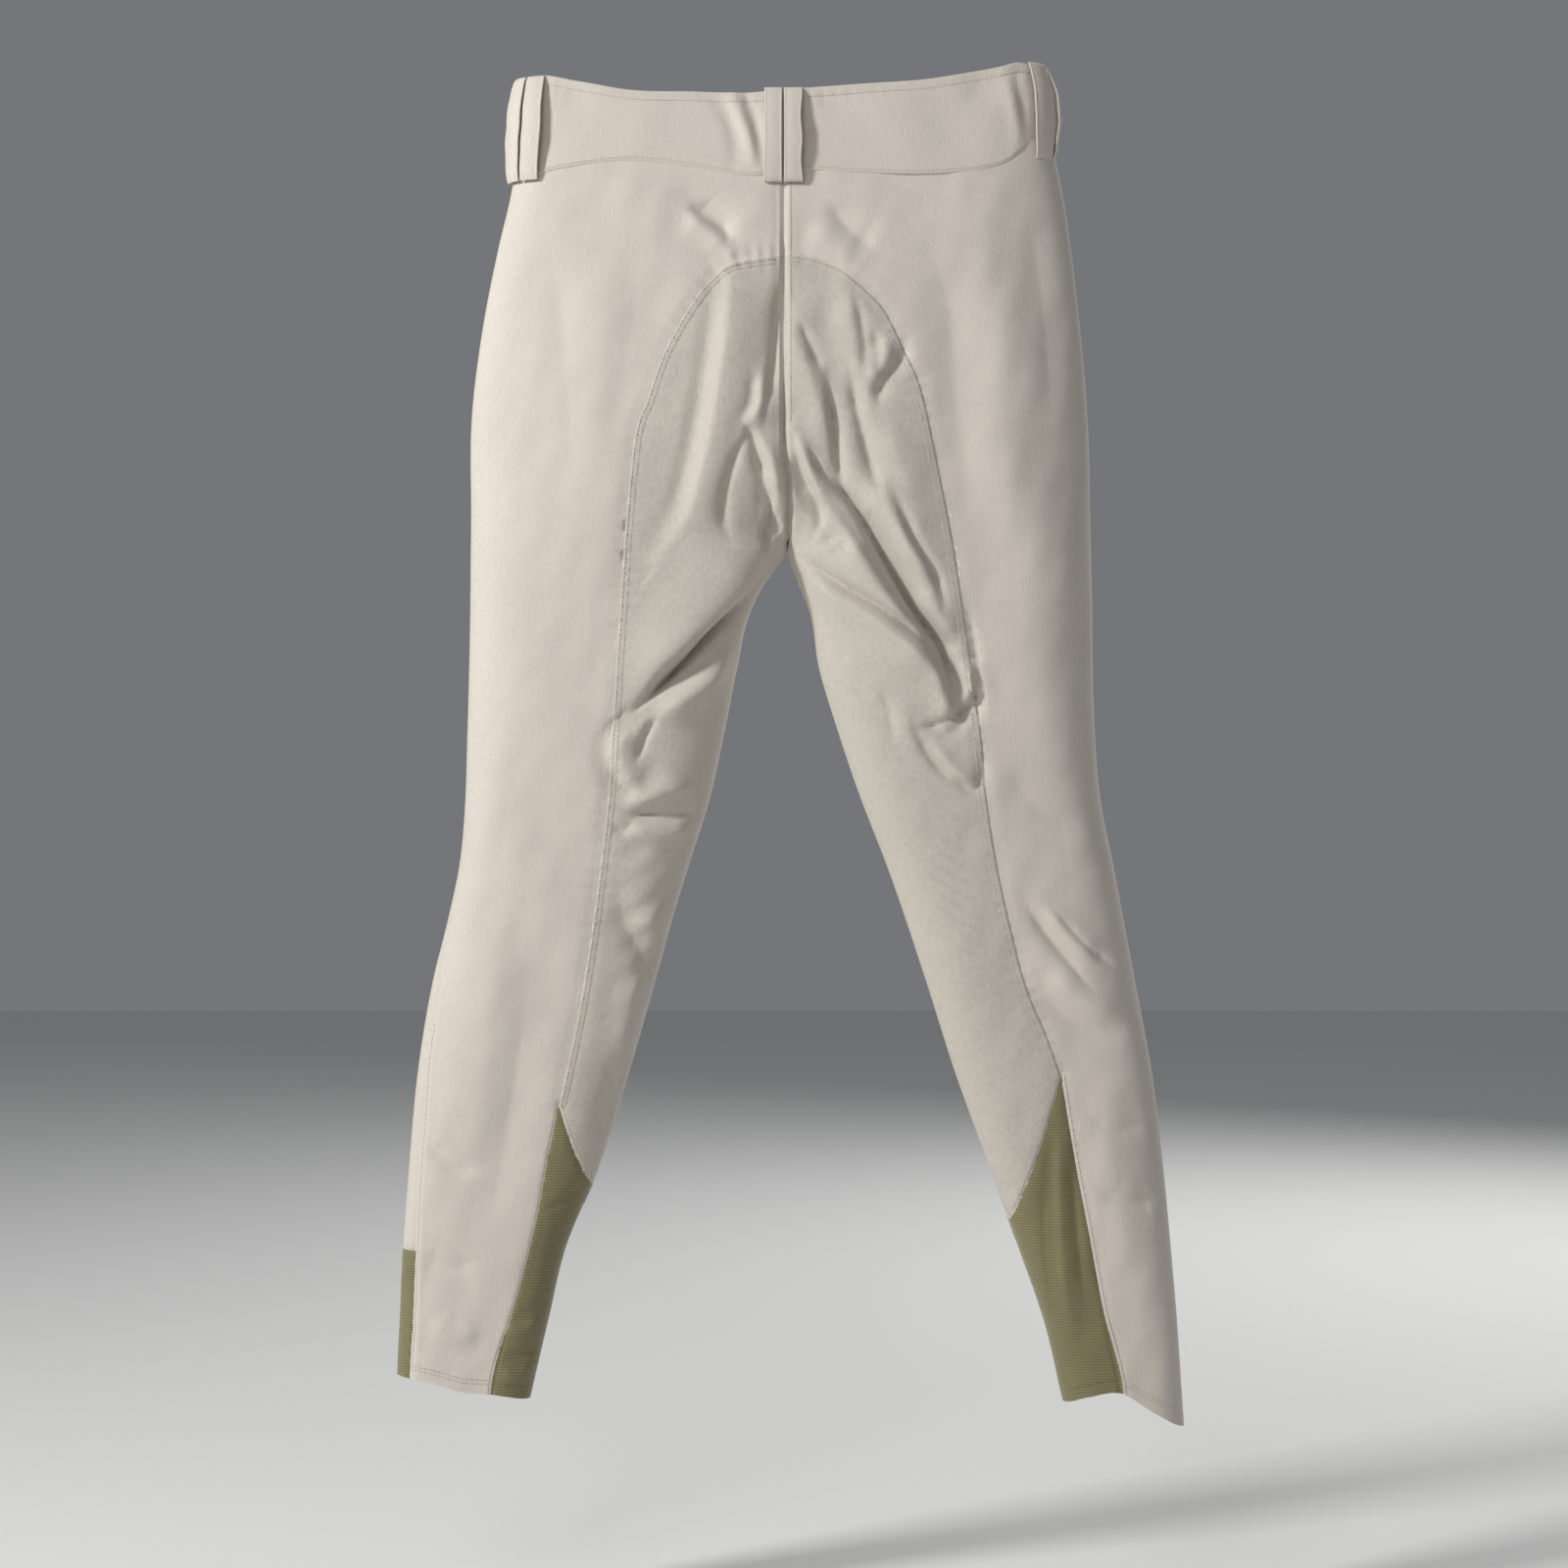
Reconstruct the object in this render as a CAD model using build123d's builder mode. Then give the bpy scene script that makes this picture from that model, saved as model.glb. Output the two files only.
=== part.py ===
"""Full-seat riding breeches, hanging empty from the waistband. Millimetres.

Frame: +Z up, +Y the wearer's front, +X the wearer's right. The origin is on the waistband's top
edge, midway between the two places where a trouser hanger grips it, halfway front to back.

The cloth is modelled as thin tubes of slot-shaped section, cut into the pieces that are sewn
together: waistband layers, front panels, outer back panels, the full-seat patch and the knit ankle
socks. The tubes are parted at the top of the thighs and at the knees, where the cloth folds.
"""

import os
from math import atan2, cos, degrees, sin, sqrt

from build123d import *

# Cloth
cloth = 1.5  # stretch twill, seat patch and knit sock
interlining_thickness = 0.5
lining_thickness = 0.9
gap = 0.5  # clearance between cloth edges that move apart
hem_depth = 20.0  # height of the turned-up hem inside each ankle

# Hips, from the waistband's top edge down
waist_width = 372.0
waist_depth = 38.0
hip_width = 424.0
hip_depth = 76.0
hip_drop = 228.0
crotch_width = 426.0
crotch_depth = 80.0
rise = 322.0
band_height = 56.0
band_sag = 10.0  # how far the band's middle hangs below its ends

# Legs, all measured down from the crotch
thigh_fold_drop = 45.0
knee_drop = 288.5
sock_top_drop = 473.0  # top edge of the sock at the front
leg_length = {"left": 568.0, "right": 583.0}
lean = {"left": 0.0, "right": 0.035}  # extra outward lean of a leg, as a slope
lean_start = 150.0  # the drop at which the lean adds nothing
# (drop below the crotch, flat width, depth, distance of the leg's middle from the centre plane)
thigh_stations = [
    (123.0, 168.0, 74.0, 131.0),
    (209.0, 155.0, 66.0, 143.5),
]
fold_station = (thigh_fold_drop, 190.0, 79.0, 118.0)
knee_station = (knee_drop, 147.0, 60.0, 162.5)
calf_stations = [
    (354.0, 138.0, 55.0, 177.0),
    (420.0, 123.0, 52.0, 191.0),
    (473.0, 107.0, 47.0, 205.0),
    (519.0, 97.0, 43.0, 211.0),
]
ankle = (88.0, 40.0, 217.0)  # width, depth and distance from the centre plane at the hem

# Seat patch: points (distance from the centre plane, height) of its edge, from the top of the arch
# down to the sock's tip, and then the lower edge to the inseam
arch_top = -121.0
seat_edge = {
    "left": [(40, -131), (67, -153), (88, -195), (101, -241), (108, -305), (114, -373),
             (119, -470), (126, -558), (138, -624)],
    "right": [(30, -129), (56, -146), (79, -172), (93, -210), (105, -267), (118, -345),
              (132, -440), (141, -520), (157, -595)],
}
sock_tip = {"left": (152, -695), "right": (186, -678)}
sock_inner = {"left": (126, -755), "right": (150, -776)}  # where the sock's edge meets the inseam
sock_outer = {"left": (196, -905), "right": (230, -915)}  # where its outer edge passes the hem

# Belt loops: each is a pair of straps side by side
strap_width = 12.0
strap_pair_gap = 1.0
strap_thickness = 1.4
strap_height = 64.0
strap_foot = 6.0  # height of the sewn end
loop_room = 7.0  # room for a belt behind a strap
side_loop_room = 8.0
foot_reach = 12.0  # how far a sewn end may reach in to meet a curved wall
left_back_loop = -173.0  # across from the middle
front_loop = 88.0

# Front zip, measured down the front wall from the top edge, and across from the middle
slit_half = 2.5
zip_top = 72.0
zip_bottom = 222.0
tooth_pitch = 2.6
tooth_size = (2.5, 1.4, 1.6)  # across, along, thick
tooth_inner = 0.75  # half the clear way between the rows, for the slider's bridge
tape_thickness = 0.8
tape_outer = 16.0
slider_length = 11.0
slider_half = 4.8
plate = 1.0
slider_clearance = 0.45
pin_radius = 0.6
pin_running = 0.05
ear = (0.75, 1.5)  # thickness and radius of the slider's ears
ear_inner = 1.3  # half the room between the ears
pull_width = 6.0
pull_length = 23.0
pull_thickness = 1.2
shield_thickness = 1.2

# Waist tab with two press studs
tab_left = -28.0
tab_right = 32.0
tab_top = 14.0
tab_bottom = 62.0
tab_base = 15.0
tab_thickness = 1.2
tab_lift = 2.2
tab_corner = 5.0
stud_across = 16.0
stud_spread = 26.0
stud_base = (5.0, 0.6)  # radius and thickness
stud_post = 1.9
stud_top = 1.9
socket_bore = 2.3
socket_low = 0.8
cap = (5.3, 0.8)
label_size = (34.0, 18.0, 0.4)

SIDES = {"left": -1, "right": 1}
FAR = 300.0  # past every outer edge

os.makedirs("parts", exist_ok=True)
front_slope = (hip_depth - waist_depth) / 2 / hip_drop
front_angle = atan2(front_slope, 1)


def half_width(drop):
    """Half the flat width of the hips at a drop below the top edge."""
    return (waist_width + (hip_width - waist_width) * drop / hip_drop) / 2


def half_depth(drop):
    """Half the depth of the hips at a drop below the top edge."""
    return waist_depth / 2 + front_slope * drop


def loft_tube(stations, inset):
    """A solid through slot sections (height, width, depth, middle), each taken in by inset."""
    with BuildPart() as tube:
        for height, width, depth, middle in stations:
            with BuildSketch(Plane.XY.offset(height)):
                with Locations((middle, 0)):
                    SlotOverall(width - 2 * inset, depth - 2 * inset)
        loft(ruled=True)
    return tube.part


def leg_station(side, station):
    """A station (drop, width, depth, middle) as a slot section of that leg."""
    drop, width, depth, middle = station
    out = middle + lean[side] * (drop - lean_start)
    return (-rise - drop, width, depth, SIDES[side] * out)


def between(low, high, drop):
    """The leg station at a drop between two stations."""
    share = (drop - low[0]) / (high[0] - low[0])
    return (drop, *[a + (b - a) * share for a, b in zip(low[1:], high[1:])])


def rise_at(across):
    """How far a sagging line of the band stands above its middle, at a distance across."""
    radius = ((waist_width / 2) ** 2 + band_sag**2) / (2 * band_sag)
    return radius - sqrt(radius**2 - across**2)


def curve_at(drop_at_middle):
    """A sagging line across the band, whose ends stand band_sag above its middle."""
    middle = -drop_at_middle
    end = middle + rise_at(FAR)
    return ThreePointArc((-FAR, end), (0, middle), (FAR, end))


def extruded(sketch, back):
    """A flat area of the XZ plane carried through the front or the back half."""
    with BuildPart() as prism:
        extrude(sketch.sketch, amount=FAR if back else -FAR)
    return prism.part


def keep_in(shell, *areas, away=()):
    """The part of a shell inside every area and outside every area in away."""
    with BuildPart() as piece:
        add(shell)
        for area in areas:
            add(area, mode=Mode.INTERSECT)
        for area in away:
            add(area, mode=Mode.SUBTRACT)
    return piece.part


def save(piece, name):
    """Labels a piece and writes it."""
    piece.label = name
    export_step(piece, f"parts/{name}.step")


# Solids of the outer shape, and the shells of cloth between them -------------------------------
hip_outline = [
    (0, waist_width, waist_depth, 0),
    (-hip_drop, hip_width, hip_depth, 0),
    (-rise, crotch_width, crotch_depth, 0),
]
crotch_leg = (0.0, crotch_width / 2 - 1, crotch_depth, crotch_width / 4 + 0.5)
above_edge = (20, waist_width - 2 * 20 * (hip_width - waist_width) / 2 / hip_drop,
              waist_depth - 2 * 20 * front_slope, 0)
hips_solid = loft_tube([above_edge, *hip_outline], 0)


def hips_shell(outer, inner):
    """The hips with short leg stubs, between two insets."""
    floor_top = -rise + inner
    hollow_outline = [*hip_outline[:2], (floor_top, *hip_outline[2][1:])]
    with BuildPart() as shell:
        add(loft_tube(hip_outline, outer))
        for side in SIDES:
            add(loft_tube(stub_outline(side, -rise), outer))
        add(loft_tube(hollow_outline, inner), mode=Mode.SUBTRACT)
        for side in SIDES:
            add(loft_tube(stub_outline(side, floor_top), inner), mode=Mode.SUBTRACT)
    return shell.part


def stub_outline(side, top):
    """The top of a leg, down to the thigh fold. It stands straight where it passes the floor."""
    middle = SIDES[side] * crotch_leg[3]
    fold = leg_station(side, between(crotch_leg, fold_station, thigh_fold_drop - gap))
    head = [(-rise, crotch_leg[1], crotch_leg[2], middle)]
    if top > -rise:
        head.insert(0, (top, crotch_leg[1], crotch_leg[2], middle))
    return [*head, fold]


def leg_shell(side, stations):
    """A leg tube of cloth through stations."""
    outline = [leg_station(side, s) for s in stations]
    with BuildPart() as shell:
        add(loft_tube(outline, 0))
        add(loft_tube(outline, cloth), mode=Mode.SUBTRACT)
    return shell.part


body_shell = hips_shell(0, cloth)
thigh_top = between(fold_station, thigh_stations[0], thigh_fold_drop + gap)
thigh_end = between(thigh_stations[-1], knee_station, knee_drop - gap)
calf_top = between(knee_station, calf_stations[0], knee_drop + gap)
thigh_shells = {s: leg_shell(s, [thigh_top, *thigh_stations, thigh_end]) for s in SIDES}
calf_outlines = {s: [calf_top, *calf_stations, (leg_length[s], *ankle)] for s in SIDES}
calf_shells = {s: leg_shell(s, calf_outlines[s]) for s in SIDES}

# Flat areas that the pieces are cut from, in the XZ plane ---------------------------------------
with BuildSketch(Plane.XZ) as band_area:
    with BuildLine():
        top_edge = curve_at(band_sag)
        low_edge = curve_at(band_sag + band_height)
        Line(top_edge @ 0, low_edge @ 0)
        Line(top_edge @ 1, low_edge @ 1)
    make_face()
with BuildSketch(Plane.XZ) as below_band_area:
    with BuildLine():
        low_edge = curve_at(band_sag + band_height)
        Polyline(low_edge @ 0, (-FAR, -4 * FAR), (FAR, -4 * FAR), low_edge @ 1)
    make_face()
with BuildSketch(Plane.XZ) as slit_area:
    with Locations((0, -zip_bottom / 2)):
        Rectangle(2 * slit_half, zip_bottom)


def side_area(side, top, bottom, inner=0.0):
    """Everything on one side of the centre plane, between two heights."""
    with BuildSketch(Plane.XZ) as area:
        with Locations((SIDES[side] * (FAR + inner) / 2, (top + bottom) / 2)):
            Rectangle(FAR - inner, top - bottom)
    return area


def sock_edge(sign, tip, inseam):
    """The hollow-curved seam between the seat patch and the sock."""
    middle = (sum((tip[0], inseam[0])) / 2 + sign * 5, sum((tip[1], inseam[1])) / 2 - 5)
    return ThreePointArc(tip, middle, inseam)


def seat_area(side):
    """The seat patch: from the arch, down its long edge to the sock's tip, to the inseam and up."""
    sign = SIDES[side]
    edge = [(sign * x, z) for x, z in seat_edge[side]]
    tip = (sign * sock_tip[side][0], sock_tip[side][1])
    inseam = (sign * sock_inner[side][0], sock_inner[side][1])
    with BuildSketch(Plane.XZ) as area:
        with BuildLine():
            Spline((0, arch_top), *edge, tip)
            sock_edge(sign, tip, inseam)
            Polyline(inseam, (0, inseam[1]), (0, arch_top))
        make_face()
    return area


def sock_area(side):
    """The back of the sock: below the seat patch, inside its own outer edge."""
    sign = SIDES[side]
    tip = (sign * sock_tip[side][0], sock_tip[side][1])
    inseam = (sign * sock_inner[side][0], sock_inner[side][1])
    hem = (sign * sock_outer[side][0], sock_outer[side][1])
    with BuildSketch(Plane.XZ) as area:
        with BuildLine():
            sock_edge(sign, tip, inseam)
            Polyline(inseam, (0, inseam[1]), (0, -4 * FAR), (hem[0], -4 * FAR), hem, tip)
        make_face()
    return area


band_back = extruded(band_area, back=True)
band_front = extruded(band_area, back=False)
below_back = extruded(below_band_area, back=True)
below_front = extruded(below_band_area, back=False)
slit = extruded(slit_area, back=False)

# Waistband: outer cloth, stiff interlining and lining, in a left and a right half ---------------
layers = {
    "waistband_outer": (0, cloth),
    "waistband_interlining": (cloth, cloth + interlining_thickness),
    "waistband_lining": (
        cloth + interlining_thickness,
        cloth + interlining_thickness + lining_thickness,
    ),
}
with BuildPart() as band_prism:
    add(band_back)
    add(band_front)
for layer, (outer, inner) in layers.items():
    with BuildPart() as ring:
        add(loft_tube(hip_outline, outer))
        add(loft_tube(hip_outline, inner), mode=Mode.SUBTRACT)
    for side in SIDES:
        with BuildPart() as half:
            add(ring)
            add(band_prism, mode=Mode.INTERSECT)
            with BuildSketch(Plane.XZ) as part_line:
                with Locations((SIDES[side] * FAR / 2, 0)):
                    Rectangle(FAR, FAR)
            extrude(amount=FAR, both=True, mode=Mode.INTERSECT)
            with BuildSketch(Plane.XZ) as front_meeting:
                with Locations((0, 0)):
                    Rectangle(gap, FAR)
            extrude(amount=-FAR, mode=Mode.SUBTRACT)
        save(half.part, f"{layer}_{side}")

# Panels and seat patch --------------------------------------------------------------------------
for side in SIDES:
    whole = side_area(side, 0, -4 * FAR)
    seat = extruded(seat_area(side), back=True)
    sock_back = extruded(sock_area(side), back=True)
    side_back = extruded(whole, back=True)
    side_front = extruded(whole, back=False)
    sock_top = -rise - sock_top_drop
    sock_front = extruded(side_area(side, sock_top, -4 * FAR), back=False)

    front = keep_in(body_shell, side_front, below_front, away=[slit])
    save(front, f"front_panel_{side}_hip")
    back = keep_in(body_shell, side_back, below_back, away=[seat])
    save(back, f"back_panel_{side}_hip")
    save(keep_in(body_shell, seat, below_back), f"seat_patch_{side}_hip")

    thigh, calf = thigh_shells[side], calf_shells[side]
    save(keep_in(thigh, side_front), f"front_panel_{side}_thigh")
    save(keep_in(thigh, side_back, away=[seat]), f"back_panel_{side}_thigh")
    save(keep_in(thigh, seat), f"seat_patch_{side}_thigh")

    save(keep_in(calf, side_front, away=[sock_front]), f"front_panel_{side}_calf")
    save(keep_in(calf, side_back, away=[seat, sock_back]), f"back_panel_{side}_calf")
    save(keep_in(calf, seat), f"seat_patch_{side}_calf")
    with BuildPart() as sock:
        add(keep_in(calf, sock_front))
        add(keep_in(calf, sock_back))
    save(sock.part, f"ankle_sock_{side}")

    # The turned-up hem lies against the inside of the ankle
    hem_outline = [leg_station(side, s) for s in calf_outlines[side][-2:]]
    with BuildPart() as hem:
        add(loft_tube(hem_outline, cloth))
        add(loft_tube(hem_outline, cloth + lining_thickness), mode=Mode.SUBTRACT)
        hem_height = -rise - leg_length[side]
        with BuildSketch(Plane.XY.offset(hem_height)):
            Rectangle(2 * FAR, 2 * FAR)
        extrude(amount=hem_depth, mode=Mode.INTERSECT)
    save(hem.part, f"hem_turn_up_{side}")

# Belt loops -------------------------------------------------------------------------------------


def wall_plane(facing, across, drop):
    """The outer surface of the hips, facing the back, the front or the right; z is outwards."""
    side_slope = (hip_width - waist_width) / 2 / hip_drop
    if facing == "right":
        origin = (half_width(drop), across, -drop)
        outward = Vector(1, 0, side_slope).normalized()
    else:
        sign = -1 if facing == "back" else 1
        origin = (across, sign * half_depth(drop), -drop)
        outward = Vector(0, sign, front_slope).normalized()
    return Plane(origin=origin, x_dir=Vector(0, 0, 1).cross(outward), z_dir=outward)


strap_pitch = strap_width + strap_pair_gap
loops = {
    "belt_loop_centre_back": ("back", 0.0, loop_room),
    "belt_loop_left_back": ("back", left_back_loop, loop_room),
    "belt_loop_right_side": ("right", 0.0, side_loop_room),
    "belt_loop_left_front": ("front", -front_loop, loop_room),
    "belt_loop_right_front": ("front", front_loop, loop_room),
}
for name, (facing, across, room) in loops.items():
    from_middle = waist_width / 2 if facing == "right" else across
    loop_top = band_sag - rise_at(from_middle) - 2
    plane = wall_plane(facing, across, loop_top + strap_height / 2)
    web_outer = room + strap_thickness
    with BuildPart() as pair:
        with BuildSketch(plane.offset(-foot_reach)):
            with GridLocations(strap_pitch, 0, 2, 1):
                Rectangle(strap_width, strap_height)
        extrude(amount=foot_reach + web_outer)
        cross_edges = pair.edges().filter_by(Axis(plane.origin, plane.x_dir))
        fillet(cross_edges.sort_by(Axis(plane.origin, plane.z_dir))[-4:], strap_thickness)
        with BuildSketch(plane.offset(-2 * foot_reach)):
            Rectangle(4 * strap_width, strap_height - 2 * strap_foot)
        extrude(amount=2 * foot_reach + room, mode=Mode.SUBTRACT)
        add(hips_solid, mode=Mode.SUBTRACT)
    save(pair.part, name)

# Front zip --------------------------------------------------------------------------------------
# x across, y down the front wall, z outwards
fly_normal = Vector(0, cos(front_angle), sin(front_angle))
fly = Plane(origin=(0, waist_depth / 2, 0), x_dir=(1, 0, 0), z_dir=fly_normal)

top_plate_low = -cloth - slider_clearance - plate
teeth_top = top_plate_low - slider_clearance
teeth_low = teeth_top - tooth_size[2]
tape_middle = (teeth_top + teeth_low) / 2
bottom_plate_top = teeth_low - slider_clearance
tape_inner = tooth_inner + tooth_size[0]
tape_top = tape_middle + tape_thickness / 2
tape_low = tape_middle - tape_thickness / 2
zip_length = zip_bottom - zip_top
facing_inner = slider_half + 2 * slider_clearance + 1.0
shield_top = bottom_plate_top - plate - slider_clearance
stop_length = 3.0


def slab(across, down, out, corners=0.0):
    """A block of the fly's frame between two distances across, down and out of the front wall.

    corners rounds its four corners, seen from the front.
    """
    with BuildPart() as block:
        with BuildSketch(fly.offset(out[0])):
            with Locations((sum(across) / 2, sum(down) / 2)):
                if corners:
                    RectangleRounded(abs(across[1] - across[0]), down[1] - down[0], corners)
                else:
                    Rectangle(abs(across[1] - across[0]), down[1] - down[0])
        extrude(amount=out[1] - out[0])
    return block.part


def rings(outer, inner, down, out):
    """Two discs, or rings if inner is given, one above the other on the waist tab."""
    with BuildPart() as pair:
        with BuildSketch(fly.offset(out[0])):
            with Locations((stud_across, down)):
                with GridLocations(0, stud_spread, 1, 2):
                    Circle(outer)
                    if inner:
                        Circle(inner, mode=Mode.SUBTRACT)
        extrude(amount=out[1] - out[0])
    return pair.part


def round_bar(radius, reach, bore=0.0):
    """A bar along the pull's pin, reaching the same way to both sides."""
    with BuildPart() as bar:
        with BuildSketch(pin_plane):
            Circle(radius)
            if bore:
                Circle(bore, mode=Mode.SUBTRACT)
        extrude(amount=reach, both=True)
    return bar.part


for side, sign in SIDES.items():
    zip_run = (zip_top, zip_bottom)
    tape_across = (sign * tape_inner, sign * tape_outer)
    save(slab(tape_across, zip_run, (tape_low, tape_top)), f"zip_tape_{side}")
    facing_across = (sign * facing_inner, sign * tape_outer)
    save(slab(facing_across, zip_run, (tape_top, -cloth)), f"fly_facing_{side}")

    tooth_count = int((zip_length - 2 * stop_length) / tooth_pitch)
    with BuildPart() as teeth:
        with BuildSketch(fly.offset(teeth_low)):
            with Locations((sign * (tooth_inner + tooth_size[0] / 2), (zip_top + zip_bottom) / 2)):
                with GridLocations(0, tooth_pitch, 1, tooth_count):
                    RectangleRounded(tooth_size[0], tooth_size[1], 0.3)
        extrude(amount=tooth_size[2])
    save(teeth.part, f"zip_teeth_{side}")

with BuildPart() as stops:
    for sign in SIDES.values():
        stop_across = (sign * tooth_inner, sign * tape_inner)
        add(slab(stop_across, (zip_top, zip_top + tooth_size[1]), (teeth_low, teeth_top)))
    bottom_run = (zip_bottom - stop_length / 2, zip_bottom)
    add(slab((-tape_inner, tape_inner), bottom_run, (teeth_low, teeth_top)))
save(stops.part, "zip_stops")

with BuildPart() as shield:
    shield_out = (shield_top - shield_thickness, shield_top)
    add(slab((-tape_outer, tape_outer), (zip_top, zip_bottom + 6), shield_out, corners=3))
    add(slab((tape_outer - 5, tape_outer), (zip_top + 4, zip_bottom), (shield_top, tape_low)))
save(shield.part, "fly_shield")

# Slider: two plates joined by a bridge between the rows, with ears for the pull's pin
slider_start = zip_top + stop_length
slider_run = (slider_start, slider_start + slider_length)
slider_across = (-slider_half, slider_half)
pin_down = slider_start + ear[1] + 0.5
pin_out = pull_thickness / 2 + 0.4
ear_low = top_plate_low + plate
ear_end = ear_inner + ear[0]
pin_point = fly.from_local_coords((0, pin_down, pin_out))
pin_plane = Plane(origin=pin_point, x_dir=fly.y_dir, z_dir=(1, 0, 0))
with BuildPart() as slider:
    add(slab(slider_across, slider_run, (top_plate_low, ear_low), corners=2))
    bottom_plate = (bottom_plate_top - plate, bottom_plate_top)
    add(slab(slider_across, slider_run, bottom_plate, corners=2))
    bridge_half = tooth_inner - slider_clearance / 2
    bridge_run = (slider_start + 1, slider_start + 5)
    add(slab((-bridge_half, bridge_half), bridge_run, (bottom_plate_top, top_plate_low)))
    for sign in SIDES.values():
        ear_run = (pin_down - ear[1], pin_down + ear[1])
        add(slab((sign * ear_inner, sign * ear_end), ear_run, (ear_low, pin_out)))
        with BuildSketch(pin_plane.offset(sign * ear_inner)):
            Circle(ear[1])
        extrude(amount=sign * ear[0])
    add(round_bar(pin_radius, ear_end))
save(slider.part, "zip_slider")

pull_neck = ear_inner - 0.25
pull_top = pin_down + ear[1] + 0.6
pull_out = (pin_out - pull_thickness / 2, pin_out + pull_thickness / 2)
with BuildPart() as pull:
    add(round_bar(pin_radius + pin_running + 0.5, pull_neck))
    add(slab((-pull_neck, pull_neck), (pin_down, pull_top + 2), pull_out))
    with BuildSketch(fly.offset(pull_out[0])):
        with Locations((0, pull_top + pull_length / 2)):
            RectangleRounded(pull_width, pull_length, 1.8)
        with Locations((0, pull_top + pull_length - 5)):
            SlotOverall(3.0, 1.6, rotation=90, mode=Mode.SUBTRACT)
    extrude(amount=pull_thickness)
    add(round_bar(pin_radius + pin_running, 2 * pull_neck), mode=Mode.SUBTRACT)
save(pull.part, "zip_pull")

# Waist tab and press studs ----------------------------------------------------------------------
tab_outer = tab_lift + tab_thickness
tab_middle = (tab_top + tab_bottom) / 2
tab_run = (tab_top, tab_bottom)
base_across = (tab_left - tab_base, tab_left - gap)
save(slab(base_across, tab_run, (0, tab_outer)), "waist_tab_base")
with BuildPart() as tab:
    add(slab((tab_left, tab_right), tab_run, (tab_lift, tab_outer)))
    corners = tab.edges().filter_by(Axis(fly.origin, fly.z_dir))
    fillet(corners.sort_by(Axis.X)[-2:], tab_corner)
save(tab.part, "waist_tab")

with BuildPart() as studs:
    add(rings(stud_base[0], 0, tab_middle, (0, stud_base[1])))
    add(rings(stud_post, 0, tab_middle, (stud_base[1], stud_top)))
save(studs.part, "snap_studs")
socket_out = (socket_low, tab_lift)
save(rings(stud_base[0], socket_bore, tab_middle, socket_out), "snap_sockets")
save(rings(cap[0], 0, tab_middle, (tab_outer, tab_outer + cap[1])), "snap_caps")

# Care label, sewn inside the back of the waistband ----------------------------------------------
label_drop = band_sag + band_height - label_size[1] / 2 - 4
label_depth = cloth + interlining_thickness + lining_thickness
with BuildPart() as label:
    with BuildSketch(wall_plane("back", 0, label_drop).offset(-label_depth)):
        Rectangle(label_size[0], label_size[1])
    extrude(amount=-label_size[2])
save(label.part, "care_label")

print("fly angle", round(degrees(front_angle), 3))
print("zip axis down", fly.y_dir)
print("slider travel", round(zip_bottom - stop_length / 2 - slider_run[1] - 1, 2))
print("pull pin", pin_point)
print("tab hinge", fly.from_local_coords((tab_left - gap, 0, tab_outer)))
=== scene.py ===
"""Full-seat riding breeches, hanging empty from the waistband.

The cloth is one smooth lens-shaped skin per quarter (left or right, back or front), worked out
from the outline and a depth curve, pushed in and out by listed folds, and cut along the seam
lines into its sewn pieces. Lengths in the functions below are millimetres; meshes are in metres.
"""

import math

import bpy
import mathutils
import numpy as np
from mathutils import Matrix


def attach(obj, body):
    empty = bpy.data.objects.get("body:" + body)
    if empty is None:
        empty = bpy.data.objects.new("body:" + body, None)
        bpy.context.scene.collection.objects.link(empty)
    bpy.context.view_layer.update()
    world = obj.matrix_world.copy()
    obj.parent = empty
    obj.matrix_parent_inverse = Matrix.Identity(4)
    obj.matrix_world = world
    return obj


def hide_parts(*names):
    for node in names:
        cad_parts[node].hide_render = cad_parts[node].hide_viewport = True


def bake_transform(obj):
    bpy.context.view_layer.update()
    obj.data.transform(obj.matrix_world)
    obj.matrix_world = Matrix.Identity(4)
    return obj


bl_info = {
    "name": "Riding breeches",
    "version": (1, 0, 0),
    "blender": (4, 5, 0),
    "location": "View3D > Sidebar > Breeches",
    "description": "Builds full-seat riding breeches from sewn cloth pieces",
    "category": "Object",
}

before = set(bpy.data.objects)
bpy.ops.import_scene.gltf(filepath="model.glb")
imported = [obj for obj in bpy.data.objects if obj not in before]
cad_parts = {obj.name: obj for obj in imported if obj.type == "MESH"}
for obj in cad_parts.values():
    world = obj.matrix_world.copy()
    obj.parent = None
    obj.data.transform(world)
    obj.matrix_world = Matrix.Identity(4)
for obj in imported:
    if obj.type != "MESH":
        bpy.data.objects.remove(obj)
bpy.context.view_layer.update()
LEFT, RIGHT = -1, 1
BACK, FRONT = -1, 1
SIDES = {"left": LEFT, "right": RIGHT}
HALF_PI = math.pi / 2

# Outline heights -------------------------------------------------------------------------------
CROTCH = -322.0
CUT = -490.0  # where upper and lower pieces of one panel meet, at mid thigh
SOCK_TOP = -795.0
LOWEST = -903.0
FLOOR = -1050.0

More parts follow.
